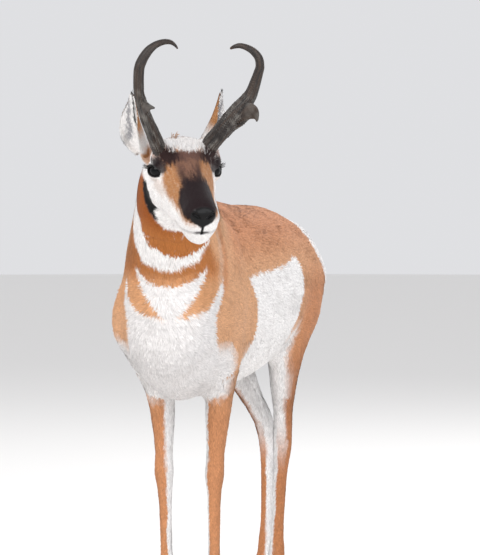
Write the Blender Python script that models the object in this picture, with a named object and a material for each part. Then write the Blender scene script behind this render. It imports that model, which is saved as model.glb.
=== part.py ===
# A pronghorn buck standing alert, life size, as a still museum model.
# The buck faces -Y with its left side on +X. It is modelled whole, then parted by thin cuts into its nodes.

import math
import random

import bmesh
import bpy
import numpy as np
from mathutils import Matrix, Vector
from mathutils.bvhtree import BVHTree

# Driving dimensions, in metres and degrees.
WITHERS_HEIGHT = 0.90
GAP = 0.0003
VOXEL = 0.0042
SOFTENING = 120
HEAD_CENTRE = Vector((0.119, -0.550, 0.966))
HEAD_TURN = 29.0
HEAD_PITCH = 27.0
EYE_RADIUS = 0.0225
EYE_SIDE = 0.0515
EYE_WIDTH = 0.036
EYE_OPENING = 0.022
LID_THICKNESS = 0.0036
GAZE = Vector((0.76, -0.64, 0.11)).normalized()
EAR_HALF_WIDTH = 0.031
EAR_THICKNESS = 0.0036
EAR_TURN = 62.0
HOOF_HEIGHT = 0.046
CORONET_SLOPE = -0.27
CLAW_TOE = 0.047
CLAW_HEEL = 0.026
CLAW_WIDTH = 0.023
CLEFT = 0.0030
TAIL_LENGTH = 0.105
SHARP_FROM = 50.0

HEAD_FRAME = (
    Matrix.Translation(HEAD_CENTRE)
    @ Matrix.Rotation(math.radians(HEAD_TURN), 4, "Z")
    @ Matrix.Rotation(math.radians(HEAD_PITCH), 4, "X")
)

# Colours of the sub-parts: base colour, roughness.
FINISHES = {
    "coat_tan": ((0.52, 0.27, 0.13), 0.85),
    "coat_russet": ((0.36, 0.17, 0.08), 0.85),
    "coat_white": ((0.85, 0.82, 0.77), 0.85),
    "horn_black": ((0.045, 0.036, 0.030), 0.50),
    "eye_dark": ((0.020, 0.012, 0.008), 0.08),
    "hoof_black": ((0.030, 0.026, 0.024), 0.45),
}


def clear_scene():
    for obj in list(bpy.data.objects):
        bpy.data.objects.remove(obj)


def finish(name):
    """The Principled material of that name, made once."""
    found = bpy.data.materials.get(name)
    if found:
        return found
    colour, roughness = FINISHES[name]
    made = bpy.data.materials.new(name)
    made.use_nodes = True
    shader = made.node_tree.nodes["Principled BSDF"]
    shader.inputs["Base Color"].default_value = (*colour, 1.0)
    shader.inputs["Roughness"].default_value = roughness
    made.diffuse_color = (*colour, 1.0)
    return made


def add_object(name, mesh):
    obj = bpy.data.objects.new(name, mesh)
    bpy.context.scene.collection.objects.link(obj)
    return obj


def dress(obj, material):
    """Gives the node its one material, and smooth shading with its real edges sharp."""
    mesh = obj.data
    mesh.materials.clear()
    mesh.materials.append(finish(material))
    mesh.shade_smooth()
    mesh.set_sharp_from_angle(angle=math.radians(SHARP_FROM))
    return obj


def take_away(obj):
    mesh = obj.data
    bpy.data.objects.remove(obj)
    if mesh.users == 0:
        bpy.data.meshes.remove(mesh)


def apply_modifiers(obj):
    """Makes the object's mesh what its modifiers show."""
    graph = bpy.context.evaluated_depsgraph_get()
    mesh = bpy.data.meshes.new_from_object(obj.evaluated_get(graph))
    obj.modifiers.clear()
    old = obj.data
    obj.data = mesh
    if old.users == 0:
        bpy.data.meshes.remove(old)
    return obj


def keep_largest(obj):
    """Keeps only the closed surface of the object that has the most faces."""
    bm = bmesh.new()
    bm.from_mesh(obj.data)
    bm.verts.ensure_lookup_table()
    group = {}
    sizes = []
    for start in bm.verts:
        if start in group:
            continue
        number = len(sizes)
        group[start] = number
        stack = [start]
        found = []
        while stack:
            vert = stack.pop()
            found.append(vert)
            for edge in vert.link_edges:
                other = edge.other_vert(vert)
                if other not in group:
                    group[other] = number
                    stack.append(other)
        sizes.append(found)
    largest = max(sizes, key=len)
    bmesh.ops.delete(bm, geom=[v for found in sizes if found is not largest for v in found], context="VERTS")
    bm.to_mesh(obj.data)
    bm.free()
    return obj


def combine(obj, others, operation, solver="MANIFOLD"):
    """One Boolean of obj with a collection of closed meshes, which are then removed."""
    group = bpy.data.collections.new("operands")
    bpy.context.scene.collection.children.link(group)
    for other in others:
        for home in list(other.users_collection):
            home.objects.unlink(other)
        group.objects.link(other)
    boolean = obj.modifiers.new(operation.lower(), "BOOLEAN")
    boolean.operation = operation
    boolean.operand_type = "COLLECTION"
    boolean.collection = group
    boolean.solver = solver
    apply_modifiers(obj)
    for other in others:
        take_away(other)
    bpy.data.collections.remove(group)
    return obj


def copy_of(obj, name="copy"):
    return add_object(name, obj.data.copy())


def smooth_rows(rows, count, places=3):
    """count rows read at even steps along a smooth curve through the given rows."""
    rows = np.array(rows, float)
    steps = np.linalg.norm(np.diff(rows[:, :places], axis=0), axis=1)
    knots = np.concatenate([[0.0], np.cumsum(np.maximum(steps, 1e-6))])
    slopes = np.diff(rows, axis=0) / np.diff(knots)[:, None]
    before = np.diff(knots)[:-1, None]
    after = np.diff(knots)[1:, None]
    middle = (slopes[:-1] * after + slopes[1:] * before) / (before + after)
    tangents = np.vstack([slopes[:1], middle, slopes[-1:]])
    wanted = np.linspace(0.0, knots[-1], count)
    index = np.clip(np.searchsorted(knots, wanted, side="right") - 1, 0, len(knots) - 2)
    width = (knots[index + 1] - knots[index])[:, None]
    t = (wanted - knots[index])[:, None] / width
    return (
        (2 * t**3 - 3 * t**2 + 1) * rows[index]
        + (t**3 - 2 * t**2 + t) * width * tangents[index]
        + (3 * t**2 - 2 * t**3) * rows[index + 1]
        + (t**3 - t**2) * width * tangents[index + 1]
    )


def closed_mesh(name, bm):
    """An object of that closed mesh, its faces turned outwards."""
    bmesh.ops.recalc_face_normals(bm, faces=bm.faces)
    if bm.calc_volume(signed=True) < 0:
        bmesh.ops.reverse_faces(bm, faces=bm.faces)
    mesh = bpy.data.meshes.new(name)
    bm.to_mesh(mesh)
    bm.free()
    return add_object(name, mesh)


def loft(name, rings):
    """A closed mesh through rings of equally many points, with flat ends."""
    bm = bmesh.new()
    loops = [[bm.verts.new(point) for point in ring] for ring in rings]
    sides = len(loops[0])
    for low, high in zip(loops, loops[1:]):
        for i in range(sides):
            j = (i + 1) % sides
            bm.faces.new((low[i], low[j], high[j], high[i]))
    bm.faces.new(list(reversed(loops[0])))
    bm.faces.new(loops[-1])
    return closed_mesh(name, bm)


def oval(side, above, below, squareness, sides):
    """Points of an oval that is wider one way than the other, as (across, up) pairs."""
    points = []
    for k in range(sides):
        angle = 2 * math.pi * k / sides
        c = math.cos(angle)
        s = math.sin(angle)
        across = side * math.copysign(abs(c) ** (2 / squareness), c)
        up = (above if s > 0 else below) * math.copysign(abs(s) ** (2 / squareness), s)
        points.append((across, up))
    return points


def limb(name, stations, ahead, rings, sides=20):
    """A limb lofted along its stations: x, y, z, half width, radius to the front, radius to the back.
    ahead is the way that the front radius points."""
    rows = smooth_rows(stations, rings)
    tangents = np.gradient(rows[:, :3], axis=0)
    loops = []
    for row, tangent in zip(rows, tangents):
        along = Vector(tangent).normalized()
        front = (ahead - along * ahead.dot(along)).normalized()
        across = front.cross(along).normalized()
        centre = Vector(row[:3])
        shape = oval(row[3], row[4], row[5], 2.0, sides)
        loops.append([centre + across * a + front * f for a, f in shape])
    return loft(name, loops)


def ellipsoid(name, centre, radii, turn=(0.0, 0.0, 0.0), frame=None, fineness=3):
    """A closed ellipsoid. turn is in degrees about X, Y and Z."""
    bm = bmesh.new()
    bmesh.ops.create_icosphere(bm, subdivisions=fineness, radius=1.0)
    spin = Matrix.Rotation(math.radians(turn[2]), 4, "Z")
    spin @= Matrix.Rotation(math.radians(turn[1]), 4, "Y")
    spin @= Matrix.Rotation(math.radians(turn[0]), 4, "X")
    place = Matrix.Translation(centre) @ spin @ Matrix.Diagonal((*radii, 1.0))
    bm.transform((frame or Matrix()) @ place)
    mesh = bpy.data.meshes.new(name)
    bm.to_mesh(mesh)
    bm.free()
    return add_object(name, mesh)


def block(name, centre, normal, upward, size, depth):
    """A box whose near face passes through centre and faces against normal, reaching depth along normal."""
    away = Vector(normal).normalized()
    up = (Vector(upward) - away * Vector(upward).dot(away)).normalized()
    side = up.cross(away).normalized()
    bm = bmesh.new()
    bmesh.ops.create_cube(bm, size=1.0)
    axes = Matrix((side, up, away)).transposed().to_4x4()
    shape = Matrix.Translation(Vector(centre) + away * depth / 2) @ axes
    bm.transform(shape @ Matrix.Diagonal((size[0], size[1], depth, 1.0)))
    return closed_mesh(name, bm)


# The trunk: y, sideways, lowest, highest, half width, squareness of the section.
TRUNK = (
    (-0.436, 0.032, 0.640, 0.700, 0.020, 2.0),
    (-0.418, 0.031, 0.575, 0.742, 0.070, 2.0),
    (-0.365, 0.026, 0.516, 0.800, 0.104, 2.0),
    (-0.285, 0.015, 0.478, 0.868, 0.124, 2.0),
    (-0.185, 0.008, 0.468, WITHERS_HEIGHT, 0.130, 1.9),
    (-0.060, 0.002, 0.472, 0.890, 0.142, 2.05),
    (0.080, 0.000, 0.486, 0.872, 0.155, 2.15),
    (0.200, 0.000, 0.510, 0.866, 0.155, 2.1),
    (0.310, 0.000, 0.550, 0.860, 0.147, 1.9),
    (0.410, 0.000, 0.580, 0.836, 0.140, 1.9),
    (0.490, 0.000, 0.600, 0.794, 0.123, 1.9),
    (0.538, 0.000, 0.630, 0.748, 0.088, 1.9),
    (0.556, 0.000, 0.665, 0.702, 0.026, 2.0),
)
WIDEST_AT = 0.47


def trunk():
    rows = smooth_rows(TRUNK, 44, places=1)
    loops = []
    for y, sideways, low, high, half, squareness in rows:
        middle = low + WIDEST_AT * (high - low)
        shape = oval(half, high - middle, middle - low, squareness, 36)
        loops.append([(sideways + across, y, middle + up) for across, up in shape])
    return loft("trunk", loops)


# The neck: x, y, z of its centre, half width, radius above, radius below.
NECK = (
    (0.000, -0.130, 0.700, 0.100, 0.160, 0.160),
    (0.016, -0.250, 0.755, 0.118, 0.142, 0.162),
    (0.038, -0.350, 0.826, 0.100, 0.116, 0.134),
    (0.059, -0.425, 0.895, 0.083, 0.090, 0.104),
    (0.078, -0.475, 0.945, 0.076, 0.068, 0.082),
    (0.100, -0.520, 0.972, 0.056, 0.046, 0.056),
)


def neck():
    return limb("neck_shape", NECK, Vector((0.0, 0.6, 0.8)), 22, 30)


# The head along its own line from back to front: y, top, then the half width and height of its upper
# corner, of its widest place and of its lower corner, and its bottom.
SKULL = (
    (0.120, 0.012, 0.024, 0.004, 0.044, 0.000, 0.032, -0.040, -0.060),
    (0.090, 0.026, 0.034, 0.017, 0.060, -0.008, 0.044, -0.064, -0.088),
    (0.060, 0.040, 0.040, 0.030, 0.067, -0.012, 0.049, -0.074, -0.100),
    (0.030, 0.050, 0.042, 0.039, 0.067, -0.012, 0.051, -0.080, -0.106),
    (-0.010, 0.056, 0.037, 0.044, 0.062, -0.010, 0.048, -0.078, -0.102),
    (-0.050, 0.050, 0.029, 0.038, 0.054, -0.012, 0.043, -0.072, -0.094),
    (-0.090, 0.043, 0.024, 0.032, 0.048, -0.016, 0.039, -0.064, -0.086),
    (-0.130, 0.037, 0.023, 0.027, 0.042, -0.018, 0.034, -0.058, -0.079),
    (-0.165, 0.033, 0.023, 0.024, 0.038, -0.014, 0.032, -0.053, -0.071),
    (-0.192, 0.029, 0.023, 0.020, 0.035, -0.008, 0.027, -0.045, -0.061),
    (-0.206, 0.023, 0.018, 0.015, 0.026, -0.006, 0.019, -0.030, -0.044),
    (-0.212, 0.014, 0.010, 0.010, 0.015, -0.002, 0.009, -0.014, -0.018),
)


def skull():
    rows = smooth_rows(SKULL, 40, places=1)
    loops = []
    for y, top, upper_half, upper_z, wide_half, wide_z, lower_half, lower_z, bottom in rows:
        side = [(upper_half, upper_z), (wide_half, wide_z), (lower_half, lower_z)]
        other = [(-x, z) for x, z in reversed(side)]
        corners = [(0.0, top)] + side + [(0.0, bottom)] + other
        ring = []
        for k in range(len(corners)):
            before, start, end, after = (Vector(corners[(k + n) % len(corners)]) for n in (-1, 0, 1, 2))
            for t in (0.0, 0.25, 0.5, 0.75):
                bend = 2 * start + (end - before) * t + (2 * before - 5 * start + 4 * end - after) * t**2
                point = 0.5 * (bend + (3 * start - before - 3 * end + after) * t**3)
                ring.append(HEAD_FRAME @ Vector((point.x, y, point.y)))
        loops.append(ring)
    return loft("skull", loops)


# Rounded forms that stand out of the skull on each side, and one under it: centre and radii.
PAIRED_FORMS = {
    "brow": ((0.045, 0.004, 0.018), (0.028, 0.034, 0.028)),
    "cheek": ((0.038, 0.018, -0.050), (0.033, 0.054, 0.046)),
    "horn_root": ((0.046, 0.006, 0.036), (0.021, 0.027, 0.022)),
    "ear_root": ((0.060, 0.066, 0.004), (0.022, 0.026, 0.030)),
    "lip": ((0.018, -0.178, -0.018), (0.019, 0.032, 0.024)),
    "nostril": ((0.014, -0.196, 0.008), (0.014, 0.018, 0.016)),
}
CHIN = ((0.0, -0.170, -0.055), (0.026, 0.034, 0.017))


def head_forms():
    made = [skull(), ellipsoid("chin", *CHIN, frame=HEAD_FRAME)]
    for name, ((x, y, z), radii) in PAIRED_FORMS.items():
        for side in (-1, 1):
            made.append(ellipsoid(name, (side * x, y, z), radii, frame=HEAD_FRAME))
    return made


# Legs of the left side: x, y, z, half width, radius to the front, radius to the back.
FORELEG = (
    (0.092, -0.215, 0.700, 0.045, 0.085, 0.085),
    (0.090, -0.230, 0.620, 0.047, 0.088, 0.085),
    (0.078, -0.185, 0.545, 0.040, 0.062, 0.062),
    (0.067, -0.165, 0.480, 0.031, 0.042, 0.048),
    (0.062, -0.162, 0.415, 0.0245, 0.031, 0.033),
    (0.060, -0.165, 0.345, 0.0190, 0.023, 0.023),
    (0.059, -0.168, 0.308, 0.0205, 0.0235, 0.024),
    (0.058, -0.166, 0.272, 0.0160, 0.0180, 0.0185),
    (0.057, -0.163, 0.195, 0.0130, 0.0150, 0.0165),
    (0.056, -0.160, 0.120, 0.0140, 0.0160, 0.0190),
    (0.056, -0.159, 0.092, 0.0180, 0.0180, 0.0235),
    (0.056, -0.170, 0.066, 0.0170, 0.0160, 0.0180),
    (0.056, -0.180, 0.044, 0.0215, 0.0200, 0.0210),
    (0.056, -0.184, 0.026, 0.0200, 0.0180, 0.0190),
)
HINDLEG = (
    (0.066, 0.400, 0.760, 0.055, 0.120, 0.105),
    (0.080, 0.375, 0.685, 0.058, 0.142, 0.126),
    (0.088, 0.345, 0.610, 0.050, 0.115, 0.110),
    (0.085, 0.345, 0.545, 0.039, 0.082, 0.080),
    (0.074, 0.378, 0.470, 0.029, 0.048, 0.050),
    (0.065, 0.418, 0.405, 0.0210, 0.028, 0.034),
    (0.058, 0.450, 0.355, 0.0200, 0.025, 0.036),
    (0.056, 0.460, 0.325, 0.0200, 0.026, 0.032),
    (0.055, 0.456, 0.285, 0.0160, 0.021, 0.024),
    (0.055, 0.445, 0.205, 0.0135, 0.0160, 0.0185),
    (0.055, 0.435, 0.125, 0.0145, 0.0165, 0.0200),
    (0.055, 0.432, 0.094, 0.0180, 0.0185, 0.0240),
    (0.055, 0.420, 0.067, 0.0165, 0.0160, 0.0180),
    (0.055, 0.409, 0.044, 0.0205, 0.0195, 0.0205),
    (0.055, 0.405, 0.026, 0.0190, 0.0175, 0.0185),
)
# Each leg: its stations, its side, how far its middle joint is set back of square, and the heights
# of the joint that it swings from and of its middle joint. Below that it swings on by a fifth.
STANCE = {
    "front_left": (FORELEG, 1, -0.012, 0.62, 0.30),
    "front_right": (FORELEG, -1, 0.008, 0.62, 0.30),
    "hind_left": (HINDLEG, 1, -0.100, 0.75, 0.34),
    "hind_right": (HINDLEG, -1, 0.155, 0.75, 0.34),
}
SIDEWAYS = {"front": 0.008, "hind": 0.0}


def leg_stations(name):
    """The leg's stations with its side and its step forward or back."""
    stations, side, step, swing, joint = STANCE[name]
    shift = SIDEWAYS[name.split("_")[0]]
    rows = []
    for x, y, z, half, front, back in stations:
        upper = min(1.0, max(0.0, (swing - z) / (swing - joint)))
        lower = max(0.0, (joint - z) / joint)
        rows.append((side * x + shift, y + step * (upper + 0.2 * lower), z, half, front, back))
    return rows


def hoof_centre(name):
    """Where the leg meets its hoof."""
    x, y = leg_stations(name)[-2][:2]
    return Vector((x, y, HOOF_HEIGHT))


def muscles():
    made = []
    for side in (-1, 1):
        blade = (side * 0.071 + 0.010, -0.230, 0.705)
        made.append(ellipsoid("blade", blade, (0.050, 0.085, 0.145), (-14, side * 9, 0)))
        arm = (side * 0.082 + 0.012, -0.285, 0.640)
        made.append(ellipsoid("arm", arm, (0.054, 0.085, 0.085), (24, 0, 0)))
        made.append(ellipsoid("haunch", (side * 0.072, 0.355, 0.698), (0.063, 0.148, 0.130)))
        made.append(ellipsoid("rump", (side * 0.050, 0.455, 0.680), (0.055, 0.092, 0.085)))
    made.append(ellipsoid("keel", (0.012, -0.235, 0.545), (0.066, 0.135, 0.080)))
    made.append(ellipsoid("sheath", (0.0, 0.150, 0.504), (0.016, 0.070, 0.022), (8, 0, 0)))
    made.append(ellipsoid("scrotum", (0.0, 0.375, 0.556), (0.024, 0.030, 0.044)))
    return made


def points_of(mesh):
    points = np.empty(len(mesh.vertices) * 3)
    mesh.vertices.foreach_get("co", points)
    return points.reshape(-1, 3)


def in_frame(points, frame):
    """The points in the coordinates of that frame."""
    back = np.array(frame.inverted())
    return points @ back[:3, :3].T + back[:3, 3]


def relaxed(mesh, passes, weights):
    """Draws each point towards the middle of its neighbours. weights, from 0 to 1, says how strongly."""
    points = points_of(mesh)
    count = len(points)
    edges = np.empty(len(mesh.edges) * 2, int)
    mesh.edges.foreach_get("vertices", edges)
    first, second = edges.reshape(-1, 2).T
    neighbours = np.bincount(first, minlength=count) + np.bincount(second, minlength=count)
    for _ in range(passes):
        mean = np.empty_like(points)
        for axis in range(3):
            mean[:, axis] = np.bincount(first, points[second, axis], count)
            mean[:, axis] += np.bincount(second, points[first, axis], count)
        mean /= neighbours[:, None]
        points += (mean - points) * 0.5 * weights[:, None]
    mesh.vertices.foreach_set("co", points.ravel())
    mesh.update()


def whole_body():
    """The buck's flesh in one closed skin: every form joined, remeshed and smoothed."""
    parts = [trunk(), neck()] + head_forms() + muscles()
    for name in STANCE:
        parts.append(limb(name, leg_stations(name), Vector((0.0, -1.0, 0.0)), 46, 20))
    bm = bmesh.new()
    for part in parts:
        bm.from_mesh(part.data)
        take_away(part)
    mesh = bpy.data.meshes.new("body")
    bm.to_mesh(mesh)
    bm.free()
    body = add_object("body", mesh)
    remesh = body.modifiers.new("whole", "REMESH")
    remesh.mode = "VOXEL"
    remesh.voxel_size = VOXEL
    apply_modifiers(body)
    keep_largest(body)
    points = points_of(body.data)
    in_head = in_frame(points, HEAD_FRAME)
    leg = np.clip((points[:, 2] - 0.43) / 0.13, 0.03, 1.0)
    behind = (in_head[:, 1] - 0.06) / 0.08
    under = (-0.125 - in_head[:, 2]) / 0.06
    face = np.clip(np.maximum(behind, under), 0.05, 1.0)
    relaxed(body.data, SOFTENING, leg * face)
    return body


def inflated(obj, amount):
    """A copy of the object whose surface is moved outwards by amount."""
    copy = copy_of(obj)
    mesh = copy.data
    normals = np.empty(len(mesh.vertices) * 3)
    mesh.vertices.foreach_get("normal", normals)
    mesh.vertices.foreach_set("co", (points_of(mesh) + normals.reshape(-1, 3) * amount).ravel())
    mesh.update()
    return copy


def lighter(obj, triangles):
    """Reduces the object to about that many triangles."""
    mesh = obj.data
    mesh.calc_loop_triangles()
    ratio = triangles / max(1, len(mesh.loop_triangles))
    if ratio < 1.0:
        decimate = obj.modifiers.new("lighter", "DECIMATE")
        decimate.ratio = ratio
        decimate.use_collapse_triangulate = True
        apply_modifiers(obj)
    return obj


def wedge(name, across, along, at, way, bottom):
    """An upright box over those ranges of x and y. Its sloping top passes through at, facing against way."""
    bm = bmesh.new()
    corners = []
    for x, y in ((across[0], along[0]), (across[1], along[0]), (across[1], along[1]), (across[0], along[1])):
        top = at.z - (way.x * (x - at.x) + way.y * (y - at.y)) / way.z
        corners.append((bm.verts.new((x, y, bottom)), bm.verts.new((x, y, top))))
    for k in range(4):
        low, high = corners[k]
        next_low, next_high = corners[(k + 1) % 4]
        bm.faces.new((low, next_low, next_high, high))
    bm.faces.new([low for low, high in reversed(corners)])
    bm.faces.new([high for low, high in corners])
    return closed_mesh(name, bm)


def beyond(name, step):
    """The space that holds that node, its cut face moved by step along the way out of the body."""
    if name == "head":
        at = HEAD_FRAME @ Vector((0.0, 0.078, -0.010))
        way = HEAD_FRAME.to_3x3() @ Vector((0.0, -0.97, 0.24))
        return block(name, at + way * step, way, (0, 0, 1), (0.30 - 2 * step, 0.28 - 2 * step), 0.36)
    if name == "neck":
        way = Vector((0.10, -0.58, 0.81)).normalized()
        return block(name, Vector((0.02, -0.315, 0.800)) + way * step, way, (0, 0, 1), (0.60, 0.80), 0.60)
    side = STANCE[name][1]
    if name.startswith("front"):
        centre = SIDEWAYS["front"]
        at = Vector((side * 0.120 + centre, -0.165, 0.540))
        way = Vector((side * 0.60, 0.10, -0.80)).normalized()
        across = (side * (0.022 + step) + centre, side * 0.22 + centre)
        along = (-0.290, -0.085)
    else:
        at = Vector((side * 0.135, 0.380, 0.650))
        way = Vector((side * 0.62, -0.16, -0.78)).normalized()
        across = (side * (0.030 + step), side * 0.24)
        along = (0.170, 0.90)
    return wedge(name, tuple(sorted(across)), along, at + way * step, way, -0.05)


def parted(whole, name):
    """That node's share of the body, cut to its exact face."""
    piece = copy_of(whole, name)
    combine(piece, [beyond(name, GAP / 2)], "INTERSECT")
    return keep_largest(piece)


def coronet(name):
    """The space under the slope at which that leg meets its hoof."""
    way = Vector((0.0, CORONET_SLOPE, -1.0))
    return block("coronet", hoof_centre(name), way, (0, 1, 0), (0.16, 0.16), 0.12)


def claw(name, foot, outward):
    """One claw of a hoof. outward is 1 on the left of the cleft and -1 on its right."""
    centre = hoof_centre(foot)
    rings = []
    for t in (0.0, 0.35, 0.7, 1.0):
        toe = -(0.0185 + (CLAW_TOE - 0.0185) * t**0.9)
        heel = 0.0185 + (CLAW_HEEL - 0.0185) * t
        width = (0.0205 + (CLAW_WIDTH - 0.0205) * t) - CLEFT / 2
        ring = []
        for k in range(9):
            s = k / 8
            y = toe + (heel - toe) * s
            bulge = math.sin(math.pi * min(1.0, 0.06 + 0.94 * s) ** 0.80) if s < 1.0 else 0.0
            x = CLEFT / 2 + width * max(0.16, bulge) ** 0.62
            ring.append((x, y))
        for s in (0.80, 0.50, 0.20):
            ring.append((CLEFT / 2, toe + (heel - toe) * s))
        loop = []
        for x, y in ring:
            coronet_z = HOOF_HEIGHT - GAP * 1.1 + CORONET_SLOPE * y
            loop.append((centre.x + outward * x, centre.y + y, coronet_z * (1.0 - t)))
        rings.append(loop)
    return loft(name, rings)


# The horns in the head's own frame: x, y, z, half width, radius to the front, radius to the back.
HORNS = {
    "left": (
        (0.0385, 0.006, 0.0300, 0.0158, 0.0214, 0.0224),
        (0.0501, 0.005, 0.0559, 0.0167, 0.0220, 0.0224),
        (0.0631, 0.002, 0.0783, 0.0167, 0.0214, 0.0214),
        (0.0794, -0.001, 0.1088, 0.0167, 0.0220, 0.0203),
        (0.0990, -0.003, 0.1386, 0.0163, 0.0234, 0.0193),
        (0.1147, -0.002, 0.1610, 0.0140, 0.0187, 0.0171),
        (0.1232, 0.000, 0.1795, 0.0122, 0.0146, 0.0146),
        (0.1327, 0.005, 0.2169, 0.0095, 0.0105, 0.0105),
        (0.1355, 0.008, 0.2325, 0.0085, 0.0093, 0.0093),
        (0.1318, 0.012, 0.2487, 0.0083, 0.0087, 0.0087),
        (0.1212, 0.017, 0.2608, 0.0073, 0.0077, 0.0077),
        (0.1079, 0.022, 0.2673, 0.0059, 0.0063, 0.0063),
        (0.0944, 0.028, 0.2686, 0.0049, 0.0053, 0.0053),
        (0.0842, 0.032, 0.2644, 0.0039, 0.0041, 0.0041),
        (0.0769, 0.036, 0.2578, 0.0016, 0.0018, 0.0018),
    ),
    "right": (
        (-0.0485, 0.006, 0.0280, 0.0160, 0.0208, 0.0216),
        (-0.0664, 0.003, 0.0659, 0.0146, 0.0203, 0.0207),
        (-0.0780, -0.001, 0.0913, 0.0134, 0.0201, 0.0203),
        (-0.0898, -0.005, 0.1165, 0.0124, 0.0203, 0.0193),
        (-0.0997, -0.008, 0.1412, 0.0115, 0.0206, 0.0182),
        (-0.1077, -0.009, 0.1647, 0.0111, 0.0162, 0.0154),
        (-0.1135, -0.008, 0.1873, 0.0105, 0.0129, 0.0129),
        (-0.1159, -0.003, 0.2301, 0.0103, 0.0113, 0.0113),
        (-0.1098, 0.003, 0.2497, 0.0099, 0.0107, 0.0107),
        (-0.0985, 0.009, 0.2663, 0.0087, 0.0095, 0.0095),
        (-0.0865, 0.014, 0.2757, 0.0069, 0.0077, 0.0077),
        (-0.0731, 0.020, 0.2795, 0.0059, 0.0063, 0.0063),
        (-0.0599, 0.025, 0.2798, 0.0053, 0.0055, 0.0055),
        (-0.0486, 0.029, 0.2761, 0.0044, 0.0046, 0.0046),
        (-0.0388, 0.033, 0.2674, 0.0028, 0.0030, 0.0030),
        (-0.0321, 0.036, 0.2581, 0.0012, 0.0014, 0.0014),
    ),
}
# The prong of each horn: x, y, z, half width, radius above, radius below.
PRONGS = {
    "left": (
        (0.0990, 0.000, 0.1265, 0.0130, 0.0215, 0.0265),
        (0.1110, -0.022, 0.1400, 0.0095, 0.0205, 0.0215),
        (0.1208, -0.040, 0.1531, 0.0065, 0.0162, 0.0154),
        (0.1250, -0.051, 0.1525, 0.0047, 0.0111, 0.0097),
        (0.1257, -0.055, 0.1455, 0.0030, 0.0059, 0.0049),
        (0.1246, -0.056, 0.1401, 0.0012, 0.0018, 0.0016),
    ),
    "right": (
        (-0.1004, 0.000, 0.1415, 0.0107, 0.0162, 0.0162),
        (-0.1013, -0.022, 0.1545, 0.0089, 0.0141, 0.0121),
        (-0.0989, -0.040, 0.1646, 0.0065, 0.0093, 0.0085),
        (-0.0945, -0.052, 0.1703, 0.0040, 0.0050, 0.0048),
        (-0.0886, -0.059, 0.1733, 0.0012, 0.0016, 0.0016),
    ),
}


def to_head(stations):
    """Stations given in the head's frame, with their places in the room's."""
    return [(*(HEAD_FRAME @ Vector(row[:3])), *row[3:]) for row in stations]


def horn(side):
    ahead = HEAD_FRAME.to_3x3() @ Vector((0.0, -1.0, 0.0))
    up = HEAD_FRAME.to_3x3() @ Vector((0.0, 0.0, 1.0))
    shaft = limb(f"horn_{side}", to_head(HORNS[side]), ahead, 24, 10)
    prong = limb("prong", to_head(PRONGS[side]), up, 9, 8)
    combine(shaft, [prong], "UNION")
    return keep_largest(shaft)


# The ears in the head's own frame: root and tip.
EARS = {
    "left": (Vector((0.0430, 0.066, 0.010)), Vector((0.0810, 0.084, 0.136))),
    "right": (Vector((-0.0680, 0.062, 0.002)), Vector((-0.1080, 0.080, 0.134))),
}


def ear(side):
    """A leaf-shaped cup, rolled nearly shut at its root and open towards its tip."""
    sign = 1 if side == "left" else -1
    root, tip = EARS[side]
    along = (tip - root).normalized()
    turn = math.radians(EAR_TURN)
    opening = Vector((sign * math.sin(turn), -math.cos(turn), 0.0))
    opening = (opening - along * opening.dot(along)).normalized()
    across = along.cross(opening).normalized()
    rings = []
    steps = 9
    for i in range(12):
        v = i / 11
        half = EAR_HALF_WIDTH * (0.50 + 0.50 * math.sin(math.pi * min(1.0, v / 0.84) ** 0.9))
        half *= math.sqrt(max(0.0, 1.0 - v**3.2)) * 0.98 + 0.02
        bend = math.radians(125.0 - 85.0 * min(1.0, v / 0.8))
        radius = half / math.sin(min(bend, math.radians(90.0)))
        bow = 0.016 * math.sin(math.pi * v) * sign
        centre = root + along * (tip - root).length * v + Vector((bow, 0.004 * math.sin(math.pi * v), 0.0))
        thick = EAR_THICKNESS * (1.0 - 0.45 * v)
        outer = []
        inner = []
        for k in range(steps):
            angle = bend * (2 * k / (steps - 1) - 1)
            edge = 1.0 - 0.55 * abs(2 * k / (steps - 1) - 1) ** 3
            reach = -opening * math.cos(angle) + across * math.sin(angle)
            middle = centre + opening * radius * 0.55
            outer.append(HEAD_FRAME @ (middle + reach * (radius + thick * edge / 2)))
            inner.append(HEAD_FRAME @ (middle + reach * max(0.0006, radius - thick * edge / 2)))
        rings.append(outer + list(reversed(inner)))
    return loft(f"ear_{side}", rings)


def eye_centre(side):
    return HEAD_FRAME @ Vector((side * EYE_SIDE, 0.0, -0.002))


def eye_axes(side):
    """The way the eye looks out, the way to its front corner, and up across it."""
    turn = HEAD_FRAME.to_3x3()
    gaze = turn @ Vector((side * GAZE.x, GAZE.y, GAZE.z))
    front = turn @ Vector((0.0, -1.0, 0.30))
    front = (front - gaze * front.dot(gaze)).normalized()
    up = front.cross(gaze).normalized() * side
    return gaze, front, up


def eyeball(name, side, radius):
    return ellipsoid(name, eye_centre(side), (radius, radius, radius))


def lid_opening(side):
    """The almond that the lids leave open, as a cutter from the eye's middle outwards."""
    gaze, front, up = eye_axes(side)
    if up.z < 0:
        up = -up
    outline = []
    for k in range(16):
        angle = 2 * math.pi * k / 16
        across = math.cos(angle) * EYE_WIDTH / 2
        rise = math.sin(angle)
        high = 0.58 if rise > 0 else 0.42
        tall = rise * abs(rise) ** 0.15 * EYE_OPENING * high
        outline.append(front * across + up * (tall - 0.10 * across))
    centre = eye_centre(side)
    inner = [centre + gaze * 0.004 + point * 0.90 for point in outline]
    outer = [centre + gaze * 0.045 + point * 1.06 for point in outline]
    return loft("opening", [inner, outer])


# The mouth's line on the head's left half, from the middle to its corner.
MOUTH = (
    (0.000, -0.240, -0.0310),
    (0.012, -0.236, -0.0320),
    (0.026, -0.222, -0.0370),
    (0.045, -0.198, -0.0430),
    (0.052, -0.176, -0.0460),
    (0.056, -0.152, -0.0500),
    (0.056, -0.134, -0.0540),
)
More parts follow.
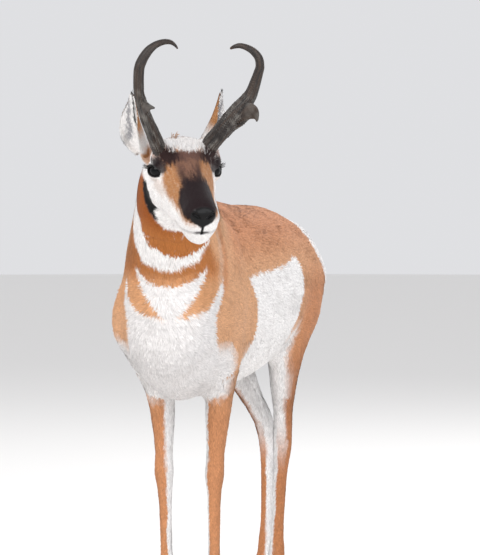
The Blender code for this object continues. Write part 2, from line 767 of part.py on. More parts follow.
# The nostril's slit on the head's left half, from beside the middle out and up.
NOSTRIL = (
    (0.011, -0.240, -0.0010),
    (0.019, -0.236, 0.0040),
    (0.029, -0.226, 0.0100),
    (0.036, -0.212, 0.0110),
)


def on_surface(obj, points, frame):
    """Where lines from the head's middle to the points, given in the frame, leave the object."""
    bm = bmesh.new()
    bm.from_mesh(obj.data)
    tree = BVHTree.FromBMesh(bm)
    found = []
    for point in points:
        start = frame @ Vector((0.0, point[1] * 0.80, point[2]))
        end = frame @ Vector(point)
        place, normal, index, distance = tree.ray_cast(start, (end - start).normalized())
        if place is not None:
            found.append((place, normal))
    bm.free()
    return found


def groove(places, radius, depth):
    """A cutter along the places on a surface, that wide and sunk by depth."""
    stations = [(*(place + normal * (radius - depth)), radius, radius, radius) for place, normal in places]
    stations[0] = (*stations[0][:3], radius * 0.3, radius * 0.3, radius * 0.3)
    stations[-1] = (*stations[-1][:3], radius * 0.3, radius * 0.3, radius * 0.3)
    return limb("groove", stations, Vector((0.0, 0.0, 1.0)), 2 * len(stations) + 4, 6)


def carve_head(head):
    """Adds the lids and cuts the eye sockets, nostrils and the mouth's line."""
    combine(head, [eyeball("lid", side, EYE_RADIUS + LID_THICKNESS) for side in (-1, 1)], "UNION")
    combine(head, [lid_opening(side) for side in (-1, 1)], "DIFFERENCE")
    combine(head, [eyeball("socket", side, EYE_RADIUS + GAP) for side in (-1, 1)], "DIFFERENCE")
    left = [Vector(point) for point in MOUTH]
    right = [Vector((-point[0], *point[1:])) for point in reversed(MOUTH[1:])]
    lips = on_surface(head, right + left, HEAD_FRAME)
    cutters = [groove(lips, 0.0024, 0.0024)]
    for side in (-1, 1):
        slit = on_surface(head, [Vector((side * x, y, z)) for x, y, z in NOSTRIL], HEAD_FRAME)
        cutters.append(groove(slit, 0.0042, 0.0060))
    combine(head, cutters, "DIFFERENCE")
    return keep_largest(head)


def tail():
    """A short flat tail that hangs close to the rump."""
    stations = (
        (0.0, 0.500, 0.762, 0.018, 0.010, 0.010),
        (0.0, 0.530, 0.748, 0.024, 0.012, 0.012),
        (0.0, 0.550, 0.720, 0.029, 0.012, 0.012),
        (0.0, 0.560, 0.690, 0.026, 0.010, 0.010),
        (0.0, 0.561, 0.755 - TAIL_LENGTH, 0.010, 0.006, 0.006),
    )
    return limb("tail", stations, Vector((0.0, 0.6, 0.8)), 12, 14)


# The nape, from the poll to the withers: x and y.
NAPE = (
    (0.081, -0.477),
    (0.068, -0.437),
    (0.052, -0.390),
    (0.028, -0.310),
    (0.010, -0.225),
)
MANE_COLUMNS = (-0.019, 0.0, 0.019)
MANE_ROWS = 11
# Lengths of the locks at the poll, at the middle of the nape and at the withers.
LOCK_LENGTHS = (0.050, 0.080, 0.056)
LOCK_WIDTH = 0.026
LOCK_THICKNESS = 0.0070
LOCK_ROOT = 0.008
# A lock's outline: share of its length, share of its width, share of its thickness.
LOCK_SHAPE = ((0.0, 0.84, 1.0), (0.36, 1.0, 1.0), (0.72, 0.70, 0.75), (1.0, 0.14, 0.30))
# The low ridge that the locks stand on, up to less than half way to their tips.
RIDGE_HEIGHT = 0.013
RIDGE_HALF_WIDTH = 0.026


def over(obj, points):
    """Where the object's top lies over those points, with its slope."""
    bm = bmesh.new()
    bm.from_mesh(obj.data)
    tree = BVHTree.FromBMesh(bm)
    found = [tree.ray_cast(Vector((x, y, 1.4)), Vector((0.0, 0.0, -1.0)))[:2] for x, y in points]
    bm.free()
    return found


def lock(place, outward, along, length, lean):
    """One flat tapered lock of hair. It leaves the skin steeply and bends back along the nape."""
    side = outward.cross(along).normalized()
    stations = []
    for share, width, thickness in LOCK_SHAPE:
        rise = length * 0.44 * math.sin(math.pi / 2 * share) - LOCK_ROOT * (1 - share)
        reach = length * 0.88 * share**1.2
        middle = place + outward * rise + along * reach + side * (lean * length * share**1.5)
        half = LOCK_THICKNESS * thickness / 2
        stations.append((*middle, LOCK_WIDTH * width / 2, half, half))
    return limb("lock", stations, outward - along * 0.7, 4, 6)


def mane(neck_node):
    """The mane's locks, in columns along the nape whose rows lie over one another, and their ridge."""
    chance = random.Random(11)
    path = smooth_rows(NAPE, 2 * MANE_ROWS + 1, places=2)
    slopes = np.gradient(path, axis=0)
    stations = []
    for place, outward in over(neck_node, path[::4]):
        middle = place + outward * (RIDGE_HEIGHT - LOCK_ROOT) / 2
        half = (RIDGE_HEIGHT + LOCK_ROOT) / 2
        stations.append((*middle, RIDGE_HALF_WIDTH, half, half))
    locks = [limb("ridge", stations, Vector((0.0, 0.3, 0.95)), 9, 10)]
    for column in MANE_COLUMNS:
        start = 1 if column == 0.0 else 2
        for k in range(start, 2 * MANE_ROWS, 2):
            tangent = Vector(slopes[k]).normalized()
            x, y = path[k]
            across = Vector((-tangent.y, tangent.x)) * column
            ahead = Vector(slopes[k]) * 2
            spots = [(x + across.x, y + across.y), (x + across.x + ahead.x, y + across.y + ahead.y)]
            (place, outward), (further, _) = over(neck_node, spots)
            share = k / (2 * MANE_ROWS)
            length = float(np.interp(share, (0.0, 0.5, 1.0), LOCK_LENGTHS)) * chance.uniform(0.86, 1.12)
            lean = chance.uniform(-0.22, 0.22)
            locks.append(lock(place, outward, (further - place).normalized(), length, lean))
    return locks


# How many triangles the whole body keeps, once for the head and once for the rest.
HEAD_FINENESS = 15000
BODY_FINENESS = 5300


def set_down(nodes):
    """Moves every node so that the origin is on the floor under the middle of the model's box."""
    corners = np.vstack([points_of(node.data) for node in nodes])
    low = corners.min(axis=0)
    high = corners.max(axis=0)
    away = Matrix.Translation((-(low[0] + high[0]) / 2, -(low[1] + high[1]) / 2, -low[2]))
    for node in nodes:
        node.data.transform(away)


def main():
    clear_scene()
    body = whole_body()
    fine = lighter(copy_of(body), HEAD_FINENESS)
    torso = lighter(body, BODY_FINENESS)
    head = parted(fine, "head")
    take_away(fine)
    neck_node = parted(torso, "neck")
    combine(neck_node, [beyond("head", -GAP / 2)], "DIFFERENCE")
    keep_largest(neck_node)
    combine(neck_node, mane(neck_node), "UNION", "EXACT")
    combine(neck_node, [beyond("neck", GAP / 2)], "INTERSECT")
    combine(neck_node, [beyond("head", -GAP / 2)], "DIFFERENCE")
    nodes = [dress(keep_largest(neck_node), "coat_russet")]
    for name in STANCE:
        leg = parted(torso, name)
        leg.name = f"leg_{name}"
        combine(leg, [coronet(name)], "DIFFERENCE")
        nodes.append(dress(keep_largest(leg), "coat_tan"))
        for outward in (-1, 1):
            place = "outer" if outward == STANCE[name][1] else "inner"
            nodes.append(dress(claw(f"hoof_{name}_{place}", name, outward), "hoof_black"))
    torso.name = "torso"
    combine(torso, [beyond(name, -GAP / 2) for name in ("neck", *STANCE)], "DIFFERENCE")
    nodes.append(dress(keep_largest(torso), "coat_tan"))
    nodes.append(dress(carve_head(head), "coat_tan"))
    for side, sign in (("left", 1), ("right", -1)):
        growth = combine(horn(side), [inflated(head, GAP)], "DIFFERENCE")
        nodes.append(dress(keep_largest(growth), "horn_black"))
        cup = combine(ear(side), [inflated(head, GAP), inflated(neck_node, GAP)], "DIFFERENCE")
        nodes.append(dress(keep_largest(cup), "coat_tan"))
        nodes.append(dress(eyeball(f"eye_{side}", sign, EYE_RADIUS), "eye_dark"))
    hanging = combine(tail(), [inflated(torso, GAP)], "DIFFERENCE")
    nodes.append(dress(keep_largest(hanging), "coat_white"))
    set_down(nodes)


main()
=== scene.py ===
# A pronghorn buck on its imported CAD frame: one skin, a coat of solid tufts, horns, eyes and hooves.
import math

import bmesh
import bpy
import numpy as np
from mathutils import Matrix, Vector
from mathutils.bvhtree import BVHTree


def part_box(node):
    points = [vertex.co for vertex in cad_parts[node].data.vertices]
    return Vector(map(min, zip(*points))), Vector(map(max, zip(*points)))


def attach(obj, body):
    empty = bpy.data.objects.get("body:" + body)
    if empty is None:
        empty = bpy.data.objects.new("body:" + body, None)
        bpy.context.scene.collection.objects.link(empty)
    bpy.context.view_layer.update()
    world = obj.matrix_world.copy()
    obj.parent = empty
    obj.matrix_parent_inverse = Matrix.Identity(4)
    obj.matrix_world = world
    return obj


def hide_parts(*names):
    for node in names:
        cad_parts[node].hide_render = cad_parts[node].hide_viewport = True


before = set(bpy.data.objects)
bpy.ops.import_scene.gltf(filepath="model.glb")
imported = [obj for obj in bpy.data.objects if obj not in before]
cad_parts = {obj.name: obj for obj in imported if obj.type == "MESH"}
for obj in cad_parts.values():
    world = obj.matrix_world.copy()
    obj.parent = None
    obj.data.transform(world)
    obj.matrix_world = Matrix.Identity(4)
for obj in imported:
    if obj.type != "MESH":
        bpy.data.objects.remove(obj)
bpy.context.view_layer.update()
print("frame loaded")


# Places. The head's own axes: x to the animal's left, y to the back of the skull, z up.
headPose = {
    "turn": 29.0,
    "dip": 27.0,
    "modelled": (0.119, -0.550, 0.966),
    "eyeDrop": 0.002,
    "marksFrom": (-0.07215, 0.04034, 0.0),
}


def middleOf(node):
    low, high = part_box(node)
    return (low + high) / 2


headTurning = Matrix.Rotation(math.radians(headPose["turn"]), 3, "Z") @ Matrix.Rotation(
    math.radians(headPose["dip"]), 3, "X"
)
betweenEyes = (middleOf("eye_left") + middleOf("eye_right")) / 2
headMiddle = betweenEyes + headTurning @ Vector((0, 0, headPose["eyeDrop"]))
placeShift = np.array(headMiddle - Vector(headPose["modelled"]))
headAxes = np.array(headTurning)
headSpot = np.array(headMiddle)
marksShift = placeShift - np.array(headPose["marksFrom"])
midline = -0.072


def toHead(points):
    return (np.asarray(points) - headSpot) @ headAxes


def fromHead(points):
    return np.asarray(points) @ headAxes.T + headSpot


def unit(vectors):
    vectors = np.asarray(vectors, float)
    return vectors / np.maximum(np.linalg.norm(vectors, axis=-1, keepdims=True), 1e-12)


def ramp(values, low, high):
    share = np.clip((values - low) / (high - low), 0.0, 1.0)
    return share * share * (3 - 2 * share)


def fall(values, low, high):
    return 1 - ramp(values, low, high)


# A cheap smooth noise of about -1 to 1: a few sine waves that cross.
waveWays = unit(np.random.default_rng(5).normal(size=(24, 3)))
wavePhases = np.random.default_rng(6).uniform(0, 6.28, 24)


def waves(points, size, first=0):
    total = np.zeros(len(points))
    for k in range(first, first + 6):
        step = (1.0 + 0.37 * (k - first)) * 2 * math.pi / size
        total += np.sin(points @ waveWays[k % 24] * step + wavePhases[k % 24])
    return total / 3.2


# The neck's middle line from the chest to the skull: x, y, z, half width, height above it.
neckLine = np.array(
    (
        (0.000, -0.130, 0.700, 0.100, 0.160),
        (0.016, -0.250, 0.755, 0.118, 0.142),
        (0.038, -0.350, 0.826, 0.100, 0.116),
        (0.059, -0.425, 0.895, 0.083, 0.090),
        (0.078, -0.475, 0.945, 0.076, 0.068),
        (0.100, -0.520, 0.972, 0.056, 0.046),
    )
)
neckLine[:, :3] += placeShift
neckUp = np.array((0.0, 0.6, 0.8))


def onNeckLine(points):
    # The nearest place on the neck's middle line: share of the way, the place, the two radii, the line's way.
    best = np.full(len(points), 1e9)
    share = np.zeros(len(points))
    found = np.zeros((len(points), 5))
    ways = np.zeros((len(points), 3))
    for k in range(len(neckLine) - 1):
        start, end = neckLine[k, :3], neckLine[k + 1, :3]
        step = end - start
        t = np.clip((points - start) @ step / (step @ step), 0, 1)
        place = neckLine[k] + t[:, None] * (neckLine[k + 1] - neckLine[k])
        far = np.linalg.norm(points - place[:, :3], axis=1)
        nearer = far < best
        best[nearer] = far[nearer]
        share[nearer] = (k + t[nearer]) / (len(neckLine) - 1)
        found[nearer] = place[nearer]
        ways[nearer] = step / np.linalg.norm(step)
    return share, found, ways


# The flesh nodes, which the skin covers. A label is a node's place in this row.
fleshNodes = ["torso", "neck", "head", "ear_left", "ear_right"]
fleshNodes += ["leg_front_left", "leg_front_right", "leg_hind_left", "leg_hind_right", "tail"]
labelOf = {node: number for number, node in enumerate(fleshNodes)}


def isLeg(labels):
    return (labels >= labelOf["leg_front_left"]) & (labels <= labelOf["leg_hind_right"])


def isMarkedHead(labels, head):
    # The neck's upper end carries the head's marks too, so that the cut between them doesn't show.
    return (labels == labelOf["head"]) | (labels == labelOf["neck"]) & (head[:, 1] < 0.10) & (head[:, 2] > -0.17)


def layers(table, first, count):
    # A row of values for each point, and a function that lays another row of the table over a share of it.
    values = np.tile(np.asarray(table[first], float), (count, 1))

    def lay(name, share):
        share = np.clip(share, 0, 1)[:, None]
        values[:] = values * (1 - share) + np.asarray(table[name]) * share

    return values, lay


# Markings. Colours are sRGB, 0 to 1.
coatColours = {
    "tan": (0.790, 0.596, 0.447),
    "back": (0.750, 0.495, 0.340),
    "thigh": (0.730, 0.485, 0.325),
    "russet": (0.660, 0.405, 0.205),
    "lobe": (0.770, 0.560, 0.395),
    "jaw": (0.560, 0.300, 0.110),
    "face": (0.660, 0.465, 0.305),
    "brow": (0.360, 0.255, 0.225),
    "forehead": (0.470, 0.340, 0.275),
    "white": (0.915, 0.905, 0.900),
    # shade: a grey for painted shade on white fur; it is also the pale line of painted highlight on the neck's fold
    "shade": (0.760, 0.735, 0.725),
    "mask": (0.108, 0.058, 0.070),
    "black": (0.060, 0.050, 0.050),
    "mane": (0.400, 0.235, 0.140),
    "pad": (0.018, 0.014, 0.018),
    "slate": (0.350, 0.350, 0.390),
    # lip: grey of the lips, partly painted shade in the mouth's crease
    "lip": (0.300, 0.275, 0.280),
    "pink": (0.700, 0.580, 0.530),
    # chest: a white dimmed with painted shade, for the chest
    "chest": (0.850, 0.838, 0.835),
}


def linear(colour):
    colour = np.asarray(colour, float)
    return np.where(colour <= 0.04045, colour / 12.92, ((colour + 0.055) / 1.055) ** 2.4)


paints = {name: linear(colour) for name, colour in coatColours.items()}


def blend(colours, name, share):
    share = np.clip(share, 0, 1)[:, None]
    return colours * (1 - share) + paints[name] * share


# Edges of the markings, as places and values: heights, distances, and angles round the throat in degrees.
throatMiddle = 10.0
soft = 0.004
axisHeights = (0.50, 0.60, 0.70, 0.755, 0.826, 0.895, 0.945, 1.0)
markEdges = {
    "axisX": (axisHeights, (-0.060, -0.058, -0.057, -0.056, -0.034, -0.013, 0.006, 0.02)),
    "axisY": (axisHeights, (-0.18, -0.20, -0.21, -0.210, -0.310, -0.385, -0.435, -0.46)),
    "crescentLow": (
        (0, 5, 9, 14, 20, 26, 33, 42, 62, 80),
        (0.755, 0.757, 0.764, 0.768, 0.775, 0.792, 0.806, 0.82, 0.851, 0.87),
    ),
    "crescentHigh": ((0, 5, 12, 20, 27, 37, 53, 75), (0.780, 0.785, 0.797, 0.812, 0.837, 0.866, 0.884, 0.890)),
    "triangleTop": ((0, 7, 13, 20, 26, 32), (0.719, 0.721, 0.730, 0.747, 0.762, 0.777)),
    "triangleSide": ((0.64, 0.653, 0.666, 0.69, 0.711, 0.731, 0.751, 0.76), (2, 3.5, 6.5, 13, 17.5, 21.5, 25, 26)),
    "lobeLow": ((3, 8, 16, 23, 31, 39, 44, 47), (0.650, 0.656, 0.661, 0.669, 0.688, 0.712, 0.725, 0.735)),
    "shoulder": (
        (0.48, 0.51, 0.535, 0.57, 0.594, 0.626, 0.647, 0.667, 0.69, 0.705, 0.72, 0.735),
        (40, 42, 44, 43, 36, 31, 31, 34, 41, 44, 47, 46.5),
    ),
    "fold": ((0.70, 0.708, 0.738, 0.766, 0.813, 0.838), (-0.302, -0.299, -0.286, -0.292, -0.317, -0.341)),
    "flankFront": (
        (0.50, 0.552, 0.579, 0.60, 0.632, 0.675, 0.719, 0.74),
        (-0.12, -0.090, -0.070, -0.058, -0.063, -0.070, -0.105, -0.114),
    ),
    "flankBack": (
        (0.54, 0.552, 0.568, 0.596, 0.627, 0.649, 0.680, 0.706, 0.735, 0.752),
        (0.12, 0.135, 0.172, 0.187, 0.210, 0.218, 0.240, 0.243, 0.227, 0.205),
    ),
    "flankTop": ((-0.11, -0.025, 0.055, 0.12, 0.187, 0.23), (0.727, 0.732, 0.736, 0.740, 0.752, 0.752)),
    "rump": ((0.52, 0.60, 0.65, 0.70, 0.72, 0.75, 0.78, 0.80), (0.52, 0.51, 0.495, 0.475, 0.450, 0.415, 0.400, 0.385)),
    "jawFront": (
        (-0.155, -0.134, -0.123, -0.101, -0.085, -0.064, -0.045),
        (-0.03, 0.002, 0.010, 0.026, 0.036, 0.046, 0.054),
    ),
    "jawBack": (
        (-0.212, -0.205, -0.196, -0.185, -0.168, -0.145, -0.128, -0.09, -0.05),
        (-0.01, 0.003, 0.012, 0.032, 0.045, 0.052, 0.073, 0.095, 0.11),
    ),
    "patchFront": ((-0.130, -0.121, -0.104, -0.066, -0.053, -0.049), (0.010, 0.007, 0.012, -0.006, 0.004, 0.026)),
    "faceMiddle": ((-0.205, -0.18, -0.05, 0.0), (0.0, -0.006, -0.007, -0.003)),
    "faceLow": (
        (-0.150, -0.133, -0.091, -0.064, -0.043, -0.030, -0.018),
        (-0.012, -0.015, -0.017, -0.013, -0.002, 0.018, 0.036),
    ),
    "foreheadHalf": ((-0.125, -0.10, -0.07, -0.04, -0.02), (0.016, 0.019, 0.022, 0.026, 0.036)),
    "maskHalf": ((-0.205, -0.190, -0.161, -0.138, -0.122, -0.106, -0.095), (62, 68, 70, 64, 50, 33, 24)),
    "bandLow": ((0.0, 0.015, 0.030, 0.043, 0.058), (-0.054, -0.052, -0.045, -0.034, -0.026)),
    "bandHigh": ((0.0, 0.010, 0.020, 0.032, 0.045, 0.060), (-0.027, -0.025, -0.020, -0.015, -0.011, -0.008)),
    "lips": ((0.13, 0.16, 0.187, 0.21), (-0.047, -0.044, -0.036, -0.031)),
    "earStreak": ((0.2, 0.5, 0.8, 1.0), (0.0310, 0.0280, 0.0190, 0.008)),
    "earLine": ((0.3, 0.53, 0.79, 0.95), (0.0150, 0.0135, 0.0035, 0.0)),
}


def edge(name, values):
    return np.interp(values, *markEdges[name])


def ruffled(points):
    # Where the back's hair is ruffled: streaks beside the spine, darker with the hair's own colour and with painted
    # shade between the clumps.
    x, y, z = (points - marksShift).T
    across = x - midline
    first = ramp(0.045 - np.abs(y + 0.13 - 0.5 * across), 0.0, 0.03) * (across < 0.10) * ramp(across, -0.03, 0)
    second = ramp(0.040 - np.abs(across - 0.060 + 0.10 * (y - 0.06)), 0.0, 0.025)
    second = second * ramp(y, -0.08, -0.02) * fall(y, 0.16, 0.24)
    third = ramp(0.030 - np.abs(across - 0.112), 0.0, 0.025) * ramp(y, -0.06, 0.02) * fall(y, 0.10, 0.16)
    return np.max([first, second, third], axis=0) * ramp(z, 0.77, 0.81)


def bodyColours(points, normals):
    x, y, z = (points - marksShift).T
    head = toHead(points)
    around = np.degrees(np.arctan2(x - edge("axisX", z), edge("axisY", z) - y)) - throatMiddle
    around = (around + 180) % 360 - 180
    isLeft, turned = around > 0, np.abs(around)
    colours, lay = layers(paints, "tan", len(points))
    lay("back", 0.85 * ramp(z, 0.72, 0.83) * ramp(y, -0.30, -0.16))
    lay("thigh", 0.9 * ramp(y, 0.18, 0.34) * fall(z, 0.66, 0.80))
    flow = waves(points * (1, 0.30, 0.7), 0.014, 12)
    # The ruffles' streaks darkened: partly darker hair, partly painted shade between the clumps.
    lay("mane", 0.60 * ruffled(points) * ramp(flow + 0.4 * waves(points * (1, 0.4, 1), 0.05, 3), 0.0, 1.0))
    # The lower body and legs take the thigh's darker tan: partly their own colour, partly painted shade low down.
    lay("thigh", 0.75 * fall(z, 0.42, 0.56))
    # Neck: its sides are tan, its nape darker.
    lay("mane", 0.75 * ramp(normals[:, 2], 0.45, 0.85) * ramp(z, 0.84, 0.88) * fall(y, -0.20, -0.12))
    throat = fall(turned, np.where(isLeft, 32, 58), np.where(isLeft, 47, 80)) * fall(y, -0.30, -0.20)
    lay("lobe", 0.8 * throat * ramp(z, 0.64, 0.70))
    lay("russet", 0.95 * throat * ramp(z, 0.715, 0.765))
    # White crescent between the jaw's band and the neck's band.
    under = ramp(edge("crescentHigh", turned) - z, -soft, soft)
    under = np.maximum(under, ramp(head[:, 1] - edge("jawBack", head[:, 2]), -soft, soft) * (z < 0.895))
    crescent = under * ramp(z - edge("crescentLow", turned), -soft, soft) * fall(turned, 68, 84) * (y < -0.2)
    # White triangle on the lower neck.
    triangle = ramp(edge("triangleTop", turned) - z, -soft, soft) * ramp(edge("triangleSide", z) - turned, -1.5, 1.5)
    triangle = triangle * (z > 0.63) * (y < -0.2)
    # White chest under the two brown lobes, out to the shoulders.
    chest = ramp(edge("lobeLow", turned) - z, -soft, soft) * ramp(edge("shoulder", z) - turned, -2.0, 2.0)
    chest = chest * (y < -0.10) * (z < 0.74)
    belly = ramp(-normals[:, 2], 0.25, 0.55) * (z < 0.62) * (z > 0.44) * (y < 0.40)
    flank = np.min([y - edge("flankFront", z), edge("flankBack", z) - y, edge("flankTop", y) - z], axis=0)
    flank = ramp(flank, -soft, soft) * (z > 0.50)
    rump = ramp(y - edge("rump", z), -0.006, 0.006) * (z > 0.50)
    # The legs' inner sides, the front of the thighs and the groin.
    isFront = fall(y, 0.05, 0.10)
    turnedIn = -normals[:, 0] * np.sign(x - midline) + 0.05 * waves(points, 0.03, 6)
    inner = ramp(turnedIn, 0.05 + 0.42 * isFront, 0.45 + 0.30 * isFront) * (z < 0.56)
    hindFront = ramp(-normals[:, 1], 0.35, 0.75) * (y > 0.2) * (z < 0.60) * ramp(z, 0.26, 0.40)
    groin = ramp(0.075 - np.abs(x - midline), 0.0, 0.015) * ramp(y, 0.12, 0.18)
    groin = groin * fall(z, 0.58, 0.62) * ramp(z, 0.42, 0.50)
    white = np.max([crescent, triangle, chest, belly, flank, rump, inner, hindFront, groin], axis=0)
    # The fold where the neck meets the left shoulder: a pale line of painted highlight, with a darker line of painted
    # shade behind it.
    fold = y - edge("fold", z)
    onFold = ramp(x, 0.02, 0.045) * ramp(z, 0.68, 0.72) * fall(z, 0.84, 0.87)
    lay("shade", 0.20 * onFold * fall(np.abs(fold + 0.002), 0.002, 0.014))
    lay("thigh", 0.60 * onFold * fall(np.abs(fold - 0.018), 0.004, 0.022))
    colours *= (1 + 0.075 * flow)[:, None].clip(0.7, 1.3)
    lay("white", white)
    # The chest's white dimmed with painted shade.
    lay("chest", white * ramp(-y, 0.10, 0.22) * fall(z, 0.72, 0.78))
    # Grey streaks of painted shade over the white fur.
    lay("shade", white * 0.30 * ramp(flow + waves(points, 0.07, 2), 0.2, 1.6))
    return colours


# Spots round the eyes: place from the head's middle plane, size, colour and strength.
headSpots = (
    (0.075, 0.040, 0.006, 0.022, "face", 0.85),
    (0.067, -0.006, 0.038, 0.013, "pink", 0.85),
    (0.066, 0.036, 0.020, 0.014, "pink", 0.70),
    (0.061, -0.018, 0.024, 0.012, "mask", 0.95),
    (0.055, -0.029, 0.018, 0.0135, "mask", 0.92),
    (0.071, -0.003, 0.021, 0.006, "mask", 0.85),
)
nosePad = (0, -0.214, 0.006)


def headColours(points):
    head = toHead(points)
    across, along, up = head.T
    out = np.abs(across)
    far = ramp(across, -0.012, 0.012)
    aside = np.abs(across - edge("faceMiddle", along))
    turned = np.degrees(np.arctan2(out, up + 0.02))
    streaks = waves(np.column_stack([across, along * 0.16, up * 0.16]), 0.010, 9)
    hairs = waves(np.column_stack([across, along * 0.20, up * 0.35]), 0.0045, 14)
    blotches = waves(points, 0.030, 2)
    colours, lay = layers(paints, "white", len(points))
    # Orange sides of the face, down to a line from the eye to the lip.
    over = up - edge("faceLow", along) - 0.012 * far
    face = ramp(over + 0.003 * streaks + 0.002 * hairs, -0.012, 0.010) * fall(along, -0.020, -0.004)
    lay("face", face)
    lay("jaw", face * 0.40 * ramp(hairs + 0.5 * blotches, 0.1, 1.3))
    lay("white", face * 0.12 * ramp(-hairs - 0.6 * blotches, 0.2, 1.3))
    # The forehead browns towards its middle and is streaked with dark hair.
    half = edge("foreheadHalf", along)
    fore = ramp(half - aside, -0.006, 0.006) * ramp(-along, 0.012, 0.030) * (up > 0)
    lay("forehead", 0.92 * fore)
    line = fall(np.abs(aside - 0.8 * half), 0.002, 0.008) * (up > 0.01)
    lay("mask", fore * 0.75 * line * ramp(-along, 0.052, 0.082))
    lay("brow", fore * (0.22 + 0.60 * ramp(streaks + 0.8 * hairs, -0.2, 1.1)))
    # The dark mask from the nose up, its upper end fading between the eyes.
    within = edge("maskHalf", along) * (1 - 0.34 * far) + 3.0 * streaks - turned + 2.0 * hairs
    lay("mask", ramp(within, -9, 9) * ramp(-along + 0.008 * streaks + 0.004 * hairs, 0.074, 0.126))
    # A dark band under the horns, blackest at their inner sides.
    high = edge("bandHigh", out)
    band = ramp(along - edge("bandLow", out) + 0.006 * streaks, -0.008, 0.008)
    band = band * ramp(high - along + 0.005 * streaks + 0.003 * hairs, -0.005, 0.005)
    band = band * ramp(up, 0.020, 0.030) * fall(out, 0.054, 0.062)
    lay("brow", 0.9 * band)
    lay("mask", 0.9 * band * ramp(out + 0.004 * streaks, 0.012, 0.032))
    # White crown between the horns, darker behind.
    crown = ramp(along - high + 0.004 * streaks + 0.003 * hairs, -0.004, 0.006) * (up > 0.012) * (out < 0.046)
    lay("white", crown)
    lay("shade", 0.60 * crown * ramp(hairs + streaks, 0.1, 1.4))
    lay("mane", 0.9 * ramp(along, 0.048, 0.066) * ramp(up, 0.010, 0.024) * fall(out, 0.036, 0.054))
    # The dark cheek patch and the band behind it.
    front = edge("jawFront", up)
    strip = ramp(along - front, -soft, soft) * ramp(edge("jawBack", up) - along, -soft, soft)
    strip = strip * ramp(-up, 0.040, 0.056) * ramp(np.maximum(-up - 0.14, out - 0.03), -0.005, 0.004)
    lay("jaw", strip)
    lay("russet", strip * ramp(-up, 0.12, 0.17))
    patch = np.minimum(along - edge("patchFront", up), front + 0.003 - along) + 0.0015 * blotches
    patch = ramp(patch, -0.003, 0.003) * ramp(up, -0.130, -0.118) * ramp(-up, 0.048, 0.056) * (out > 0.03)
    lay("black", patch)
    behind = ramp(0.012 - np.abs(along - front - 0.006), 0, 0.006) * (out > 0.03) * (up < -0.05)
    lay("jaw", 0.7 * (1 - patch) * ramp(up, -0.135, -0.118) * behind)
    # Round the eyes and the brows.
    for x0, y0, z0, size, name, strength in headSpots:
        away = np.linalg.norm(np.column_stack([out - x0, along - y0, up - z0]), axis=1)
        lay(name, strength * fall(away + 0.0012 * blotches + 0.0016 * hairs, size * 0.6, size * 1.4))
    # A little warmth on the cheek, and grey painted shade on the muzzle's white.
    warm = fall(np.abs(up + 0.022), 0.006, 0.022) * ramp(-along, 0.0, 0.02) * fall(-along, 0.05, 0.08)
    lay("face", 0.30 * warm * (1 - face))
    light = ramp(colours[:, 2], 0.60, 0.75)
    lay("pink", 0.16 * light * ramp(blotches + 0.4 * hairs, 0.0, 1.4))
    lay("shade", 0.34 * light * ramp(-blotches + 0.5 * hairs, 0.2, 1.6))
    # Nose pad, mouth line and the groove between them. The mouth line's grey is partly dark lip, partly painted shade
    # in the crease of the mouth.
    lay("pad", fall(np.linalg.norm((head - nosePad) / (0.0280, 0.026, 0.0200), axis=1), 0.9, 1.1))
    lips = np.abs(up - edge("lips", -along))
    near = fall(out, 0.007, 0.018)
    ahead = ramp(-along, 0.150, 0.180)
    lay("lip", fall(lips, 0.0008, 0.0060) * ahead * (0.30 + 0.45 * near))
    lay("pad", 0.8 * fall(lips, 0.0006, 0.0032) * near * ahead)
    lay("pad", fall(out, 0.0015, 0.0042) * ramp(-up, 0.0, 0.010) * (up > -0.036) * (along < -0.19))
    return colours


# The ears: root, tip and side, in the head's axes, and how far their cups turn out.
earSpots = {
    "ear_left": ((0.0430, 0.066, 0.010), (0.0810, 0.084, 0.136), 1),
    "ear_right": ((-0.0680, 0.062, 0.002), (-0.1080, 0.080, 0.134), -1),
}
earTurn = 62.0


def earPlaces(points, node):
    # Share of the way to the tip, distance across (towards the other ear), the cup's way and the ear's way.
    root, tip, sign = earSpots[node]
    root, tip = np.array(root), np.array(tip)
    along = unit(tip - root)
    turn = math.radians(earTurn)
    opening = np.array((sign * math.sin(turn), -math.cos(turn), 0.0))
    opening = unit(opening - along * (opening @ along))
    across = np.cross(along, opening) * sign
    local = toHead(points) - root
    return local @ along / np.linalg.norm(tip - root), local @ across, opening @ headAxes.T, along @ headAxes.T


def earColours(points, normals, node):
    share, across, opening, _ = earPlaces(points, node)
    facing = normals @ opening
    inside = ramp(facing, -0.05, 0.35)
    outer = ramp(across, -0.006, 0.006) if node == "ear_right" else 0.0
    colours, lay = layers(paints, "face", len(points))
    lay("white", 0.92 * np.maximum(ramp(share, 0.08, 0.20), outer) * fall(share, 0.24, 0.52))
    lay("mane", 0.8 * ramp(share, 0.72, 0.98))
    lay("white", inside * np.maximum(ramp(share, 0.03, 0.12), outer))
    streak = fall(np.abs(across - edge("earStreak", share) + 0.0010 * waves(points, 0.010, 5)), 0.0005, 0.0064)
    lay("slate", 0.74 * streak * ramp(share, 0.10, 0.28) * fall(share, 0.74, 0.92) * inside)
    if node == "ear_right":
        rim = fall(np.abs(across - edge("earLine", share)), 0.0020, 0.0046)
        rim = rim * ramp(share, 0.36, 0.46) * ramp(facing, 0.0, 0.4)
        rim = np.maximum(rim, 0.55 * ramp(across, 0.012, 0.020) * ramp(share, 0.80, 0.90))
        rim = np.maximum(rim, 0.25 * fall(np.abs(facing), 0.1, 0.35) * ramp(across, 0.02, 0.03))
    else:
        rim = fall(np.abs(facing + 0.04), 0.08, 0.24) * ramp(share, 0.36, 0.50)
    lay("black", 0.92 * rim)
    lay("black", 0.9 * ramp(share, 0.93, 0.98))
    return colours


